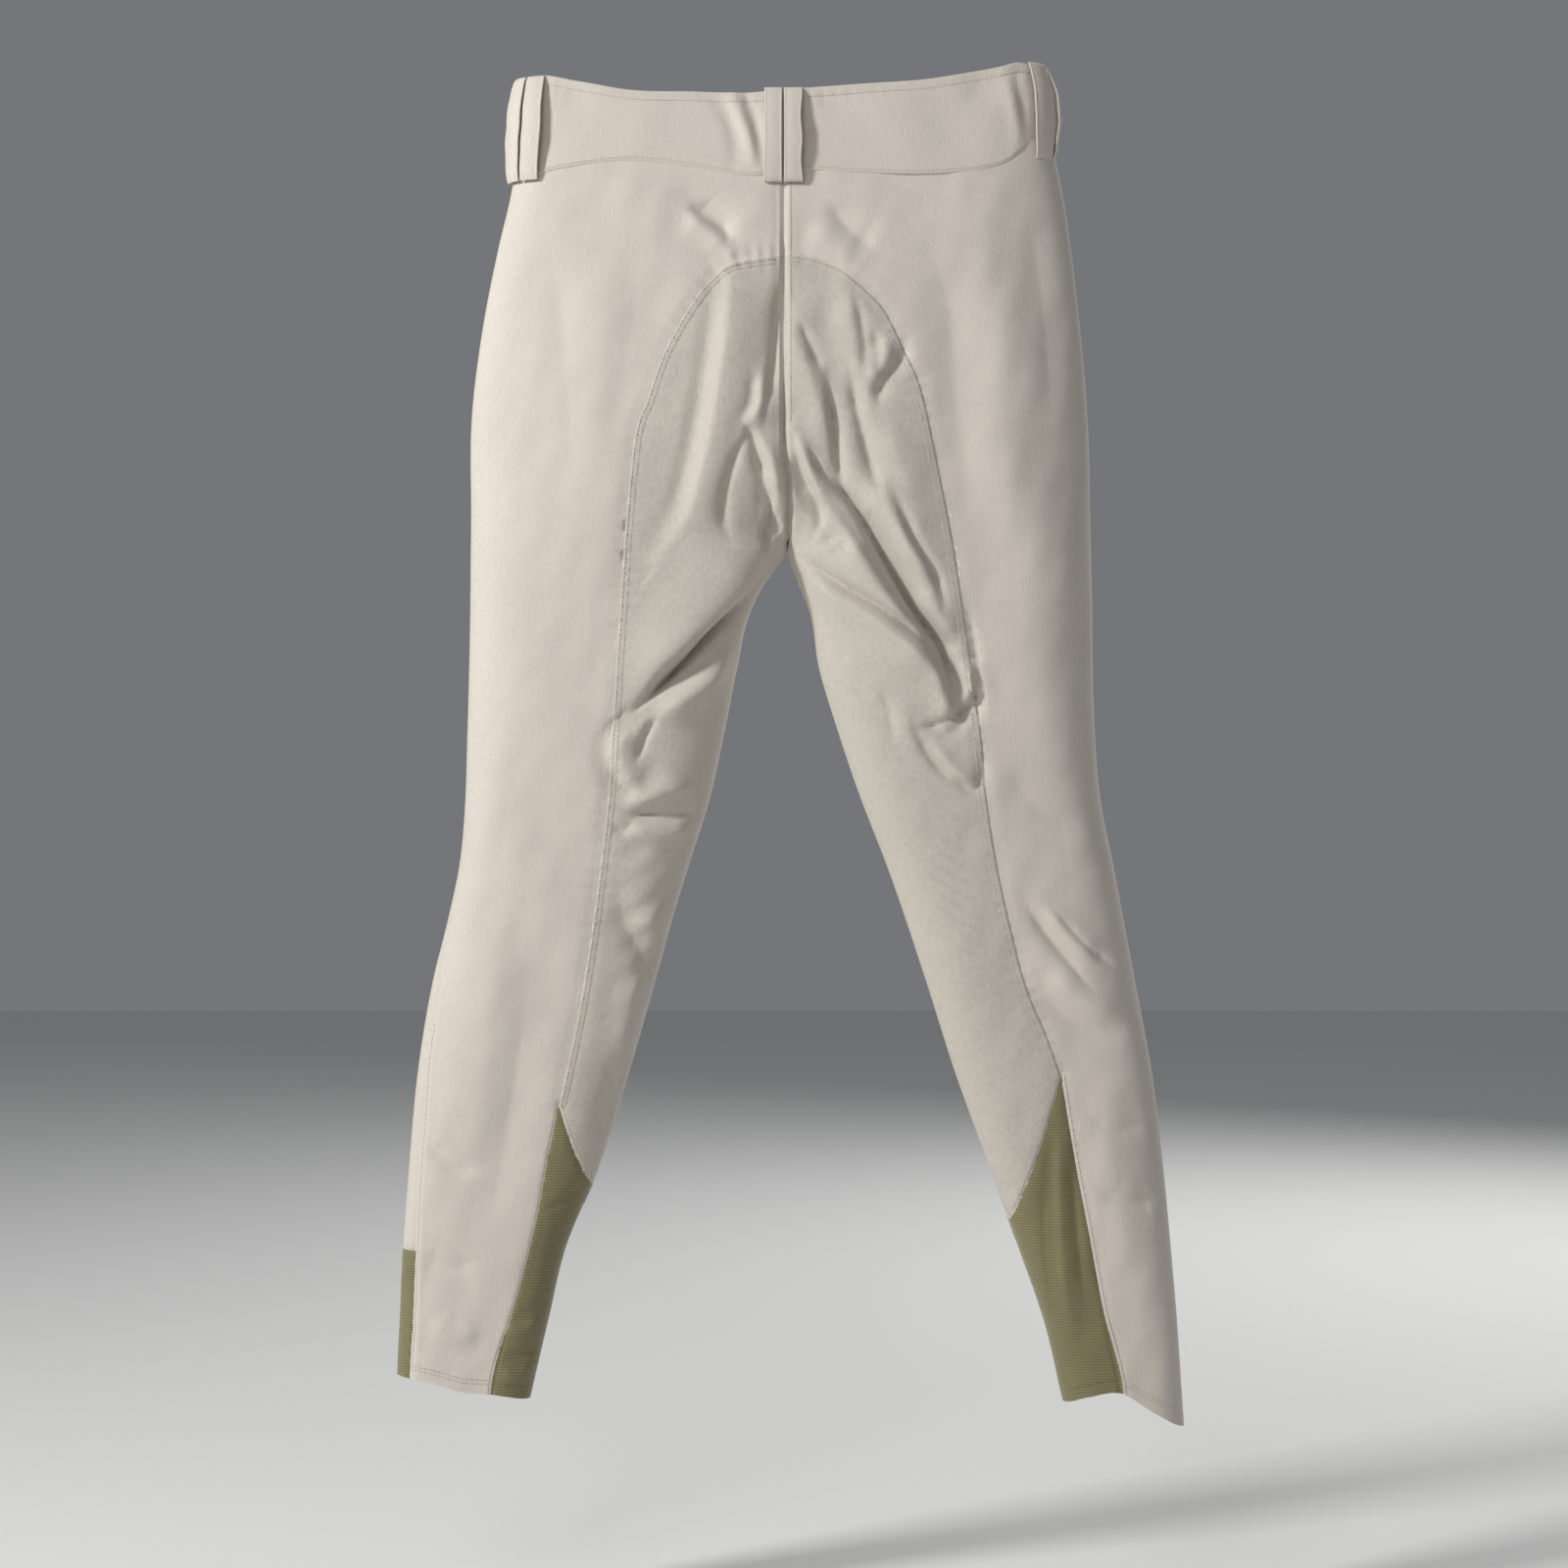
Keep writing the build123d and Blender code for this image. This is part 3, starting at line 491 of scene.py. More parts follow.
def skin(cloth, side, face, phi, v):
    """The folded skin: bare + normal x push(x, z), the push fading out at the edges. At the middle
    seams the normal is turned straight back or forward, so that both sides meet."""
    p = bare(side, face, phi, v)
    e = 0.004
    inward = np.where(phi > 0, -e, e)
    n = turned(p, bare(side, face, phi + inward, v), bare(side, face, phi, v - 0.3), side, face)
    n *= np.where(inward > 0, 1, -1)[..., None]
    _, share = lens(side, phi, v)
    straight = step_up(0.0, 0.16, (1 + np.sin(phi)) / 2)
    straight = 1 + (straight - 1) * step_up(CROTCH, CROTCH + 10, v)
    n[..., 0] *= straight
    n[..., 2] *= straight
    n /= np.linalg.norm(n, axis=-1, keepdims=True) + 1e-9
    near = (1 - step_up(0.0, 0.1, (1 + np.sin(phi)) / 2)) * (1 - step_up(CROTCH, CROTCH + 16, v))
    push = sample(cloth.push[face], p[..., 0], p[..., 2]) * step_up(0.0, 0.45, share)
    return p + n * (push * (1 - near))[..., None]


def skin_normals(cloth, side, face, phi, v):
    """Outward unit normals of the folded skin."""
    e = 0.006
    inward = np.where(phi > 0, -e, e)
    p = skin(cloth, side, face, phi, v)
    n = turned(p, skin(cloth, side, face, phi + inward, v), skin(cloth, side, face, phi, v - 0.6),
               side, face)
    return n * np.where(inward > 0, 1, -1)[..., None]


def pattern_phi(side, x, v):
    """The phi at which the skin stands at x: arcsin(2 q - 1)."""
    inner, outer = edges_at(side, v)
    q = (x - inner) / (outer - inner)
    return np.arcsin(np.clip(2 * q - 1, -1, 1))


def rows_between(high, low, step):
    """Heights from high to low, with two close rows at each end."""
    count = max(3, round((high - low) / step))
    inner = np.linspace(high, low, count + 1)
    return np.concatenate([[high, high - 0.25], inner[1:-1], [low + 0.25, low]])


NEARLY_MET = 0.2  # how far apart two points on a seam may be and still be made one


def snap(x, v, distance, step_x, step_v):
    """Moves pattern points that are within half a cell of a line onto it, and returns distances.

    Each moves along the grid's own direction that crosses the line best, across or down, by
    -d / g with g the distance field's slope that way. Two neighbours that both move then meet, and
    are made one point.
    """
    e = 0.8
    d = sample(distance, x, v)
    gx = (sample(distance, x + e, v) - sample(distance, x - e, v)) / (2 * e)
    gz = (sample(distance, x, v + e) - sample(distance, x, v - e)) / (2 * e)
    close = np.abs(d) <= 0.52 * np.maximum(np.abs(gx) * step_x, np.abs(gz) * step_v) + 1e-6
    across = np.abs(gx) * step_x >= np.abs(gz) * step_v
    for _ in range(3):
        left = np.where(close, sample(distance, x, v), 0.0)
        x = x - np.where(across, left, 0.0) / np.where(close & across, gx, 1.0)
        v = v - np.where(across, 0.0, left) / np.where(close & ~across, gz, 1.0)
    for ahead, behind in ((np.s_[1:], np.s_[:-1]), (np.s_[:, 1:], np.s_[:, :-1])):
        gap = np.hypot(x[ahead] - x[behind], v[ahead] - v[behind])
        same = close[ahead] & close[behind] & (gap < NEARLY_MET)
        x[ahead] = np.where(same, x[behind], x[ahead])
        v[ahead] = np.where(same, v[behind], v[ahead])
    return x, v, np.where(close, 0.0, d)


def triangles(rows, columns, fields):
    """Two triangles per cell of a grid. Where opposite corners lie across a line, the cell is split
    along its other diagonal."""
    index = np.arange(rows * columns).reshape(rows, columns)
    a, b = index[:-1, :-1].ravel(), index[:-1, 1:].ravel()
    c, d = index[1:, 1:].ravel(), index[1:, :-1].ravel()
    other = np.zeros(len(a), bool)
    for field in fields:
        f = field.ravel()
        other |= f[a] * f[c] < 0
    one = np.where(other[:, None], np.stack([a, b, d], 1), np.stack([a, b, c], 1))
    two = np.where(other[:, None], np.stack([b, c, d], 1), np.stack([a, c, d], 1))
    return np.vstack([one, two])


# Meshes ----------------------------------------------------------------------------------------
def make_mesh(name, points, faces):
    """An object at the origin from points in millimetres and faces of three or four corners."""
    mesh = bpy.data.meshes.new(name)
    faces = np.asarray(faces)
    size = faces.shape[1]
    mesh.vertices.add(len(points))
    mesh.vertices.foreach_set("co", (np.asarray(points) * 0.001).astype(np.float32).ravel())
    mesh.loops.add(faces.size)
    mesh.loops.foreach_set("vertex_index", faces.astype(np.int32).ravel())
    mesh.polygons.add(len(faces))
    mesh.polygons.foreach_set("loop_start", np.arange(0, faces.size, size, dtype=np.int32))
    mesh.update(calc_edges=True)
    mesh.validate()
    mesh.shade_smooth()
    mesh.set_sharp_from_angle(angle=math.radians(60))
    thing = bpy.data.objects.new(name, mesh)
    bpy.context.scene.collection.objects.link(thing)
    return thing


def merged(points, faces, *extras):
    """Joins points that coincide to 0.01 mm, and drops faces that collapse."""
    _, first, where = np.unique(np.round(points, 2), axis=0, return_index=True,
                                return_inverse=True)
    faces = where.ravel()[faces]
    whole = (faces[:, 0] != faces[:, 1]) & (faces[:, 1] != faces[:, 2])
    whole &= faces[:, 0] != faces[:, 2]
    return points[first], faces[whole], [e[first] for e in extras]


def thickened(points, normals, faces, outward, inward):
    """A closed shell: the faces at +outward and, turned over, at -inward along the normals, with a
    rim along every free edge."""
    n = len(points)
    shell = np.vstack([points + normals * outward, points - normals * inward])
    edges = np.vstack([faces[:, [0, 1]], faces[:, [1, 2]], faces[:, [2, 0]]])
    key = np.sort(edges, 1)
    code = key[:, 0].astype(np.int64) * n + key[:, 1]
    _, first, count = np.unique(code, return_index=True, return_counts=True)
    free = edges[first[count == 1]]
    rim = np.vstack([np.stack([free[:, 1], free[:, 0], free[:, 0] + n], 1),
                     np.stack([free[:, 1], free[:, 0] + n, free[:, 1] + n], 1)])
    return shell, np.vstack([faces, faces[:, ::-1] + n, rim])


def used(points, normals, faces):
    """Only the points that faces use."""
    keep, where = np.unique(faces, return_inverse=True)
    return points[keep], normals[keep], where.reshape(faces.shape)


SEAMS = ("seat", "sock", "strip", "side")


class Quarter:
    """One side's back or front skin as a cut-out grid: points, normals, triangles and the distances
    of each triangle from the seam lines."""

    def __init__(self, cloth, side, face, high, low, step, columns):
        v = rows_between(high, low, step)
        if high > CROTCH > low:
            close = CROTCH - np.array([-3.0, -1.4, -0.5, 0.0, 0.7, 1.8])
            v = np.concatenate([v[v > CROTCH + 3.6], close, v[v < CROTCH - 2.4]])
        phi = np.linspace(-HALF_PI, HALF_PI, columns + 1)
        phi, v = np.meshgrid(phi, v)
        x, _ = lens(side, phi, v)
        step_x = np.abs(np.gradient(x, axis=1))
        fixed = phi.shape
        step_v = np.abs(np.gradient(v, axis=0))
        fields = []
        if face == BACK:
            for seam in SEAMS:
                x, v, d = snap(x, v, cloth.seams[seam, side], step_x, step_v)
                fields.append(d)
            v = np.clip(v, low, high)
            v[0], v[-1] = high, low
            phi = pattern_phi(side, x, v)
            phi[:, 0], phi[:, -1] = -HALF_PI, HALF_PI
        before = bare(side, face, phi, v)
        across = np.linalg.norm(np.diff(before, axis=1), axis=2).cumsum(axis=1)
        self.run = np.pad(across, ((0, 0), (1, 0))).ravel()
        self.before, self.rows, self.height = before.reshape(-1, 3), fixed[0], v.ravel()
        self.points = skin(cloth, side, face, phi, v).reshape(-1, 3)
        self.normals = skin_normals(cloth, side, face, phi, v).reshape(-1, 3)
        faces = triangles(*fixed, fields)
        if side * face < 0:
            faces = faces[:, ::-1]
        self.faces = faces
        self.middle = {name: f.ravel()[faces].sum(1) for name, f in zip(SEAMS, fields)}
        self.v = v.ravel()[faces].mean(1)

    def cut(self, keep):
        """The points, normals and faces of the triangles in keep."""
        return used(self.points, self.normals, self.faces[keep])

    def flat(self, keep):
        """Width, length and area, in metres, of the triangles in keep on the skin before its folds:
        the widest row along the skin, the height, and the sum of the triangles' areas."""
        faces = self.faces[keep]
        a, b, c = (self.before[faces[:, k]] for k in range(3))
        area = np.linalg.norm(np.cross(b - a, c - a), axis=1).sum() / 2
        corner = np.unique(faces)
        row = corner * self.rows // len(self.run)
        low, high = np.full(self.rows, np.inf), np.full(self.rows, -np.inf)
        np.minimum.at(low, row, self.run[corner])
        np.maximum.at(high, row, self.run[corner])
        wide = (high - low)[high > low].max()
        return float(wide) / 1000, float(np.ptp(self.height[corner])) / 1000, float(area) / 1e6


def sewn(quarters, outward=0.0, inward=1.2):
    """One closed shell from the cut parts of several quarters."""
    points = np.vstack([q[0] for q in quarters])
    normals = np.vstack([q[1] for q in quarters])
    shift = np.cumsum([0, *[len(q[0]) for q in quarters[:-1]]])
    faces = np.vstack([q[2] + s for q, s in zip(quarters, shift)])
    points, faces, (normals,) = merged(points, faces, normals)
    return thickened(points, normals, faces, outward, inward)


# Thread ----------------------------------------------------------------------------------------
def stitches(places, ahead, out, length, radius):
    """Short rounded stitches lying on the cloth, as points and faces.

    Each is four rings of five points round its line, at -1, -0.7, 0.7 and 1 of its half length,
    with radii 0.35, 1, 1 and 0.35 of the thread's.
    """
    ahead = ahead / (np.linalg.norm(ahead, axis=1, keepdims=True) + 1e-12)
    out = out - ahead * (out * ahead).sum(1, keepdims=True)
    out /= np.linalg.norm(out, axis=1, keepdims=True) + 1e-12
    across = np.cross(ahead, out)
    rings = np.array([(-1, 0.35), (-0.7, 1), (0.7, 1), (1, 0.35)])
    turn = np.arange(5) * 2 * math.pi / 5
    ring = (rings[:, None, 1, None] * radius * (np.cos(turn)[None, :, None] * across[:, None, None]
            + np.sin(turn)[None, :, None] * out[:, None, None]))
    points = places[:, None, None] + ahead[:, None, None] * (rings[:, None, 0, None] * length / 2)
    points = (points + ring).reshape(-1, 3)
    cell = []
    for r in range(3):
        for k in range(5):
            a, b = r * 5 + k, r * 5 + (k + 1) % 5
            cell += [(a, b, b + 5), (a, b + 5, a + 5)]
    for r, order in ((0, (0, 4, 3, 2, 1)), (15, (15, 16, 17, 18, 19))):
        cell += [(order[0], order[k], order[k + 1]) for k in (1, 2, 3)]
    cell = np.array(cell)
    faces = (np.arange(len(places))[:, None, None] * 20 + cell[None]).reshape(-1, 3)
    return points, faces


def sewing_row(cloth, side, face, line, pitch, lift=0.12):
    """Places, directions and outward normals of the stitches along a line of the pattern."""
    run = np.concatenate([[0], np.cumsum(np.linalg.norm(np.diff(line, axis=0), axis=1))])
    at = np.arange(pitch / 2, run[-1], pitch)
    x = np.interp(at, run, line[:, 0])
    v = np.interp(at, run, line[:, 1])
    here = pattern_phi(side, x, v)
    p = skin(cloth, side, face, here, v)
    n = skin_normals(cloth, side, face, here, v)
    ahead = np.gradient(p, axis=0)
    return p + n * lift, ahead, n


def beside(points, offset, step=3.0):
    """The line at an offset to the right of a line."""
    line = through(points, step)
    run = np.gradient(line, axis=0)
    run /= np.linalg.norm(run, axis=1, keepdims=True)
    return line + offset * np.stack([run[:, 1], -run[:, 0]], 1)


# Materials -------------------------------------------------------------------------------------
class Wire:
    """One output socket, on which sums, differences and products add Math nodes."""

    def __init__(self, maker, socket):
        self.maker, self.socket = maker, socket

    def _sum(self, operation, a, b):
        return self.maker.node("ShaderNodeMath", {"operation": operation}, {0: a, 1: b})

    def __add__(self, other):
        return self._sum("ADD", self, other)

    __radd__ = __add__

    def __sub__(self, other):
        return self._sum("SUBTRACT", self, other)

    def __rsub__(self, other):
        return self._sum("SUBTRACT", other, self)

    def __mul__(self, other):
        return self._sum("MULTIPLY", self, other)

    __rmul__ = __mul__


class Maker:
    """A material under construction: its node tree and its Principled shader."""

    def __init__(self, name):
        self.material = bpy.data.materials.new(name)
        self.material.use_nodes = True
        self.tree = self.material.node_tree
        self.shader = self.tree.nodes["Principled BSDF"]

    def node(self, kind, settings=None, sockets=None, output=0):
        """Adds a node: its settings first, a ramp's stops among them, then its sockets' values or
        links. Returns one of its outputs."""
        made = self.tree.nodes.new(kind)
        for key, value in (settings or {}).items():
            if key == "stops":
                ramp = made.color_ramp
                for stop, (place, shade) in zip(ramp.elements, value):
                    stop.position, stop.color = place, (shade, shade, shade, 1)
            else:
                setattr(made, key, value)
        for key, value in (sockets or {}).items():
            self.fill(made.inputs[key], value)
        return Wire(self, made.outputs[output])

    def fill(self, socket, value):
        """Links a socket to a Wire, or gives it a value."""
        if isinstance(value, Wire):
            self.tree.links.new(value.socket, socket)
        else:
            socket.default_value = value

    def set(self, **values):
        """Values or links of the Principled shader's sockets, with _ for a space."""
        for key, value in values.items():
            self.fill(self.shader.inputs[key.replace("_", " ")], value)
        return self.material

    def place(self):
        """Object coordinates as three Wires."""
        at = self.node("ShaderNodeTexCoord", output="Object")
        parts = [self.node("ShaderNodeSeparateXYZ", None, {0: at}, k) for k in range(3)]
        return at, parts

    def noise(self, at, scale, detail=3.0, roughness=0.5):
        """Noise of a scale, from 0 to 1."""
        return self.node("ShaderNodeTexNoise", None, {"Vector": at, "Scale": scale,
                                                      "Detail": detail, "Roughness": roughness})

    def sine(self, value):
        """The sine of a Wire."""
        return self.node("ShaderNodeMath", {"operation": "SINE"}, {0: value})

    def blend(self, share, a, b):
        """A colour mixed from a to b."""
        made = self.tree.nodes.new("ShaderNodeMix")
        made.data_type = "RGBA"
        self.fill(made.inputs["Factor"], share)
        self.fill(made.inputs["A"], a)
        self.fill(made.inputs["B"], b)
        return Wire(self, made.outputs["Result"])

    def bump(self, height, depth, strength=1.0):
        """A normal from a height in shares of depth, in metres."""
        return self.node("ShaderNodeBump", None, {"Height": height, "Distance": depth,
                                                  "Strength": strength})


def shade(colour, factor):
    """A colour made lighter or darker."""
    return (*[min(1.0, c * factor) for c in colour[:3]], 1.0)


def twill(name, colour):
    """Fine stretch twill: slanting ribs 0.9 mm apart, a broken yarn grain, soft mottling."""
    m = Maker(name)
    at, (x, y, z) = m.place()
    rib = m.sine((x + z + y * 0.6) * (2 * math.pi / 0.00128))
    yarn = m.noise(at, 1500, 2.0)
    fuzz = m.noise(at, 420, 3.0, 0.6)
    long = m.node("ShaderNodeMapping", None, {"Vector": at, "Scale": (700, 700, 130)})
    slub = m.noise(long, 1, 2)
    cloud = m.noise(at, 9, 3.0, 0.55)
    tone = m.node("ShaderNodeValToRGB", {"stops": [(0.3, 0.0), (0.72, 1.0)]}, {0: cloud})
    ground = m.blend(tone, shade(colour, 0.94), shade(colour, 1.03))
    grain = m.blend(fuzz * 0.6 + slub * 0.5 - 0.1, shade(colour, 0.78), shade(colour, 1.14))
    made = m.blend(0.5, ground, grain)
    height = rib * 0.3 + yarn * 0.6 + fuzz * 0.9 + slub * 0.8
    m.shader.inputs["Sheen Weight"].default_value = 0.22
    m.shader.inputs["Sheen Roughness"].default_value = 0.5
    return m.set(Base_Color=made, Roughness=0.82 + fuzz * 0.12, Normal=m.bump(height, 0.0003, 0.9))


def napped(name, colour):
    """Brushed seat cloth: a short nap with a fine dry grain and slightly rubbed clouds."""
    m = Maker(name)
    at, (x, _, z) = m.place()
    nap = m.noise(at, 900, 4.0, 0.7)
    grain = m.noise(at, 260, 3.0, 0.6)
    rub = m.noise(at, 16, 4.0, 0.6)
    weave = m.sine((x - z) * (2 * math.pi / 0.0011)) * m.sine((x + z) * (2 * math.pi / 0.0011))
    tone = m.node("ShaderNodeValToRGB", {"stops": [(0.3, 0.0), (0.7, 1.0)]}, {0: rub})
    ground = m.blend(tone, shade(colour, 0.93), shade(colour, 1.04))
    made = m.blend(nap * 0.5 + grain * 0.7 - 0.1, shade(colour, 0.74), m.blend(0.6, ground,
                                                                   shade(colour, 1.12)))
    height = nap * 1.0 + grain * 1.1 + weave * 0.15
    m.shader.inputs["Sheen Weight"].default_value = 0.15
    m.shader.inputs["Sheen Roughness"].default_value = 0.6
    return m.set(Base_Color=made, Roughness=0.88 + nap * 0.1, Normal=m.bump(height, 0.0004, 0.9))


def knit(name, colour):
    """Thin ribbed stretch knit: level ribs 1.9 mm apart, loops along them, a slight silky light."""
    m = Maker(name)
    at, (x, y, z) = m.place()
    drift = m.noise(at, 30, 2.0)
    rib = m.sine((z + drift * 0.002) * (2 * math.pi / 0.0019))
    loop = m.sine((x + y) * (2 * math.pi / 0.0009) + rib * 1.2)
    fuzz = m.noise(at, 700, 3.0, 0.6)
    cloud = m.noise(at, 22, 3.0, 0.5)
    bright = rib * 0.22 + loop * 0.08 + fuzz * 0.3 + cloud * 0.5 - 0.05
    made = m.blend(bright, shade(colour, 0.72), shade(colour, 1.3))
    height = rib * 0.6 + loop * 0.18 + fuzz * 0.5
    m.shader.inputs["Sheen Weight"].default_value = 0.4
    m.shader.inputs["Sheen Roughness"].default_value = 0.4
    return m.set(Base_Color=made, Roughness=0.52 + fuzz * 0.25, Normal=m.bump(height, 0.0003, 0.9))


def thread(name, colour):
    """Polyester sewing thread: twisted plies and a soft shine."""
    m = Maker(name)
    at, (x, y, z) = m.place()
    ply = m.sine((x * 0.7 + z + y) * (2 * math.pi / 0.00045))
    fuzz = m.noise(at, 1200, 2.0)
    made = m.blend(fuzz * 0.6 + ply * 0.15, shade(colour, 0.88), shade(colour, 1.06))
    return m.set(Base_Color=made, Roughness=0.5 + fuzz * 0.2, Normal=m.bump(ply + fuzz, 0.0001))


def plain_weave(name, colour, pitch):
    """Plain woven tape or lining: crossed yarns at a pitch, with small slubs."""
    m = Maker(name)
    at, (x, y, z) = m.place()
    warp = m.sine((x + y) * (2 * math.pi / pitch))
    weft = m.sine(z * (2 * math.pi / pitch))
    slub = m.noise(at, 320, 3.0, 0.6)
    cross = warp * weft
    made = m.blend(slub * 0.7 + cross * 0.12, shade(colour, 0.88), shade(colour, 1.06))
    m.shader.inputs["Sheen Weight"].default_value = 0.1
    return m.set(Base_Color=made, Roughness=0.75 + slub * 0.15,
                 Normal=m.bump(cross * 0.6 + slub, 0.00015))


def metal(name, colour):
    """Satin nickel: fine drawn scratches, duller and darker where it is handled less."""
    m = Maker(name)
    at, _ = m.place()
    drawn = m.node("ShaderNodeMapping", None, {"Vector": at, "Scale": (900.0, 900.0, 60.0)})
    scratch = m.noise(drawn, 1.0, 4.0, 0.6)
    patina = m.noise(at, 160, 3.0)
    made = m.blend(patina, shade(colour, 0.8), shade(colour, 1.1))
    m.shader.inputs["Metallic"].default_value = 1.0
    return m.set(Base_Color=made, Roughness=0.26 + scratch * 0.16 + patina * 0.08,
                 Normal=m.bump(scratch, 0.00003))


def paper_floor(name, colour):
    """Matt pale floor with a barely seen grain."""
    m = Maker(name)
    at, _ = m.place()
    grain = m.noise(at, 60, 3.0)
    made = m.blend(grain, shade(colour, 0.985), shade(colour, 1.01))
    return m.set(Base_Color=made, Roughness=0.9 + grain * 0.05)


# Settings --------------------------------------------------------------------------------------
def colour_property(name, text, value):
    return bpy.props.FloatVectorProperty(name=name, description=text, subtype="COLOR", size=3,
                                         min=0, max=1, default=value)


def length_property(name, text, value):
    return bpy.props.FloatProperty(name=name, description=text, default=value, min=0,
                                   unit="LENGTH", subtype="DISTANCE", precision=5)


class BreechesCloth(bpy.types.PropertyGroup):
    """Sizes and colours of the cloth"""

    twill: colour_property("Twill", "Colour of the cream stretch twill", (0.70, 0.635, 0.56))
    seat: colour_property("Seat", "Colour of the brushed seat cloth", (0.635, 0.585, 0.51))
    knit: colour_property("Sock", "Colour of the ribbed ankle socks", (0.235, 0.205, 0.095))
    sewing: colour_property("Thread", "Colour of the sewing thread", (0.74, 0.685, 0.60))
    sock_sewing: colour_property("Sock thread", "Colour of the thread in the sock hems",
                                 (0.30, 0.265, 0.14))
    lining: colour_property("Lining", "Colour of the lining and zip tape", (0.68, 0.62, 0.55))
    thickness: length_property("Cloth thickness", "Thickness of the twill", 0.0012)
    cell: length_property("Mesh cell", "Height of one row of the cloth's mesh", 0.0024)
    columns: bpy.props.IntProperty(name="Columns", description="Columns across a quarter",
                                   default=136, min=20)
    folds: bpy.props.FloatProperty(name="Fold strength", description="Scale of all the folds",
                                   default=1.6, min=0, max=3)
    stitch: length_property("Stitch", "Distance from one stitch to the next", 0.0032)
    yarn: length_property("Thread radius", "Radius of the sewing thread", 0.00026)


class BreechesTrim(bpy.types.PropertyGroup):
    """Sizes and colours of the trimmings"""

    strap: length_property("Strap width", "Width of one strap of a belt loop pair", 0.0122)
    strap_gap: length_property("Strap gap", "Room between the two straps of a pair", 0.0012)
    strap_thickness: length_property("Strap thickness", "Thickness of a belt loop strap", 0.0016)
    nickel: colour_property("Nickel", "Colour of the zip and the press studs", (0.62, 0.60, 0.56))
    label: colour_property("Label", "Colour of the blank care label", (0.86, 0.85, 0.82))


class BreechesStage(bpy.types.PropertyGroup):
    """Camera, light and floor"""

    distance: length_property("Camera distance", "Distance of the camera behind the cloth", 2.2)
    eye: bpy.props.FloatProperty(name="Camera height", description="Height of the camera",
                                 default=-0.4785, unit="LENGTH", subtype="DISTANCE")
    floor: colour_property("Floor", "Colour of the floor", (0.78, 0.78, 0.76))
    key: bpy.props.FloatProperty(name="Key light", description="Strength of the upper left light",
                                 default=51, min=0)
    fill: bpy.props.FloatProperty(name="Fill light", description="Strength of the soft world light",
                                  default=0.19, min=0)


def settings():
    """The three groups of settings."""
    scene = bpy.context.scene
    return scene.breeches_cloth, scene.breeches_trim, scene.breeches_stage


store = {}


def cloth():
    """The folds and seams, worked out on first use."""
    if "cloth" not in store:
        store["cloth"] = Cloth(settings()[0].folds)
    return store["cloth"]


def finish_of(name):
    """A material by its plain name, made on first use."""
    wear, trim, stage = settings()
    recipes = {
        "twill": lambda: twill("Cream twill", wear.twill),
        "seat": lambda: napped("Brushed seat cloth", wear.seat),
        "knit": lambda: knit("Ribbed sock knit", wear.knit),
        "thread": lambda: thread("Sewing thread", wear.sewing),
        "sock thread": lambda: thread("Sock thread", wear.sock_sewing),
        "lining": lambda: plain_weave("Band lining", wear.lining, 0.0008),
        "tape": lambda: plain_weave("Zip tape", wear.lining, 0.0011),
        "label": lambda: plain_weave("Label ribbon", trim.label, 0.0004),
        "nickel": lambda: metal("Satin nickel", trim.nickel),
        "floor": lambda: paper_floor("Floor", stage.floor),
    }
    if name not in store:
        store[name] = recipes[name]()
    return store[name]


def dressed(thing, finish):
    """Gives a piece its material."""
    thing.data.materials.append(finish_of(finish))
    return thing


def over_fold(thing, upper):
    """Bakes a piece's placement into its mesh, the same for an upper piece as for a lower one."""
    if upper:
        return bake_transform(thing)
    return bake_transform(thing)


def quarters(side, face, upper):
    """The quarter of skin above or below the mid-thigh cut."""
    wear = settings()[0]
    key = (side, face, upper)
    if key not in store:
        high, low = (-62.0, CUT) if upper else (CUT, LOWEST)
        store[key] = Quarter(cloth(), side, face, high, low, wear.cell * 1000, wear.columns)
    return store[key]


# Pieces of cloth -------------------------------------------------------------------------------
def panel(kind, side, parts, finish, upper, stands_for):
    """One sewn piece of cloth from parts of quarters. The width, length and area of each part, flat
    on the skin before its folds, are worked out and not kept."""
    thick = settings()[0].thickness * 1000
    thing = make_mesh(f"{kind}_{side}", *sewn([q.cut(keep) for q, keep in parts], 0.0, thick))
    dressed(thing, finish)
    over_fold(thing, upper)
    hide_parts(*stands_for)
    wide, tall, area = np.array([q.flat(keep) for q, keep in parts]).T
    return thing


def cut_parts(side, upper):
    """Which triangles of the back belong to the seat, the sock and the outer panel."""
    q = quarters(side, BACK, upper)
    seat, sock, strip, band = (q.middle[k] for k in SEAMS)
    below = q.v < SEAT_EDGE[side][-1][1]
    outer = np.where(below, strip < 0, seat < 0) & (band <= 0)
    knit_part = below & ~outer & (sock < 0) | (band > 0)
    return q, {"outer": outer, "seat": ~outer & ~knit_part, "sock": knit_part}


def cut_nodes(kind, side, upper):
    """The CAD nodes that the upper or lower piece of a panel stands for."""
    return [f"{kind}_{side}_{n}" for n in (["hip"] if upper else ["thigh", "calf"])]


def thread_piece(name, rows, finish="thread"):
    """One piece from rows of stitches, each row being (places, directions, outward)."""
    wear = settings()[0]
    pitch = wear.stitch * 1000
    made = [stitches(p, a, n, pitch * 0.8, wear.yarn * 1000) for p, a, n in rows if len(p) > 1]
    points = np.vstack([m[0] for m in made])
    shift = np.cumsum([0, *[len(m[0]) for m in made[:-1]]])
    faces = np.vstack([m[1] + s for m, s in zip(made, shift)])
    return dressed(make_mesh(name, points, faces), finish)


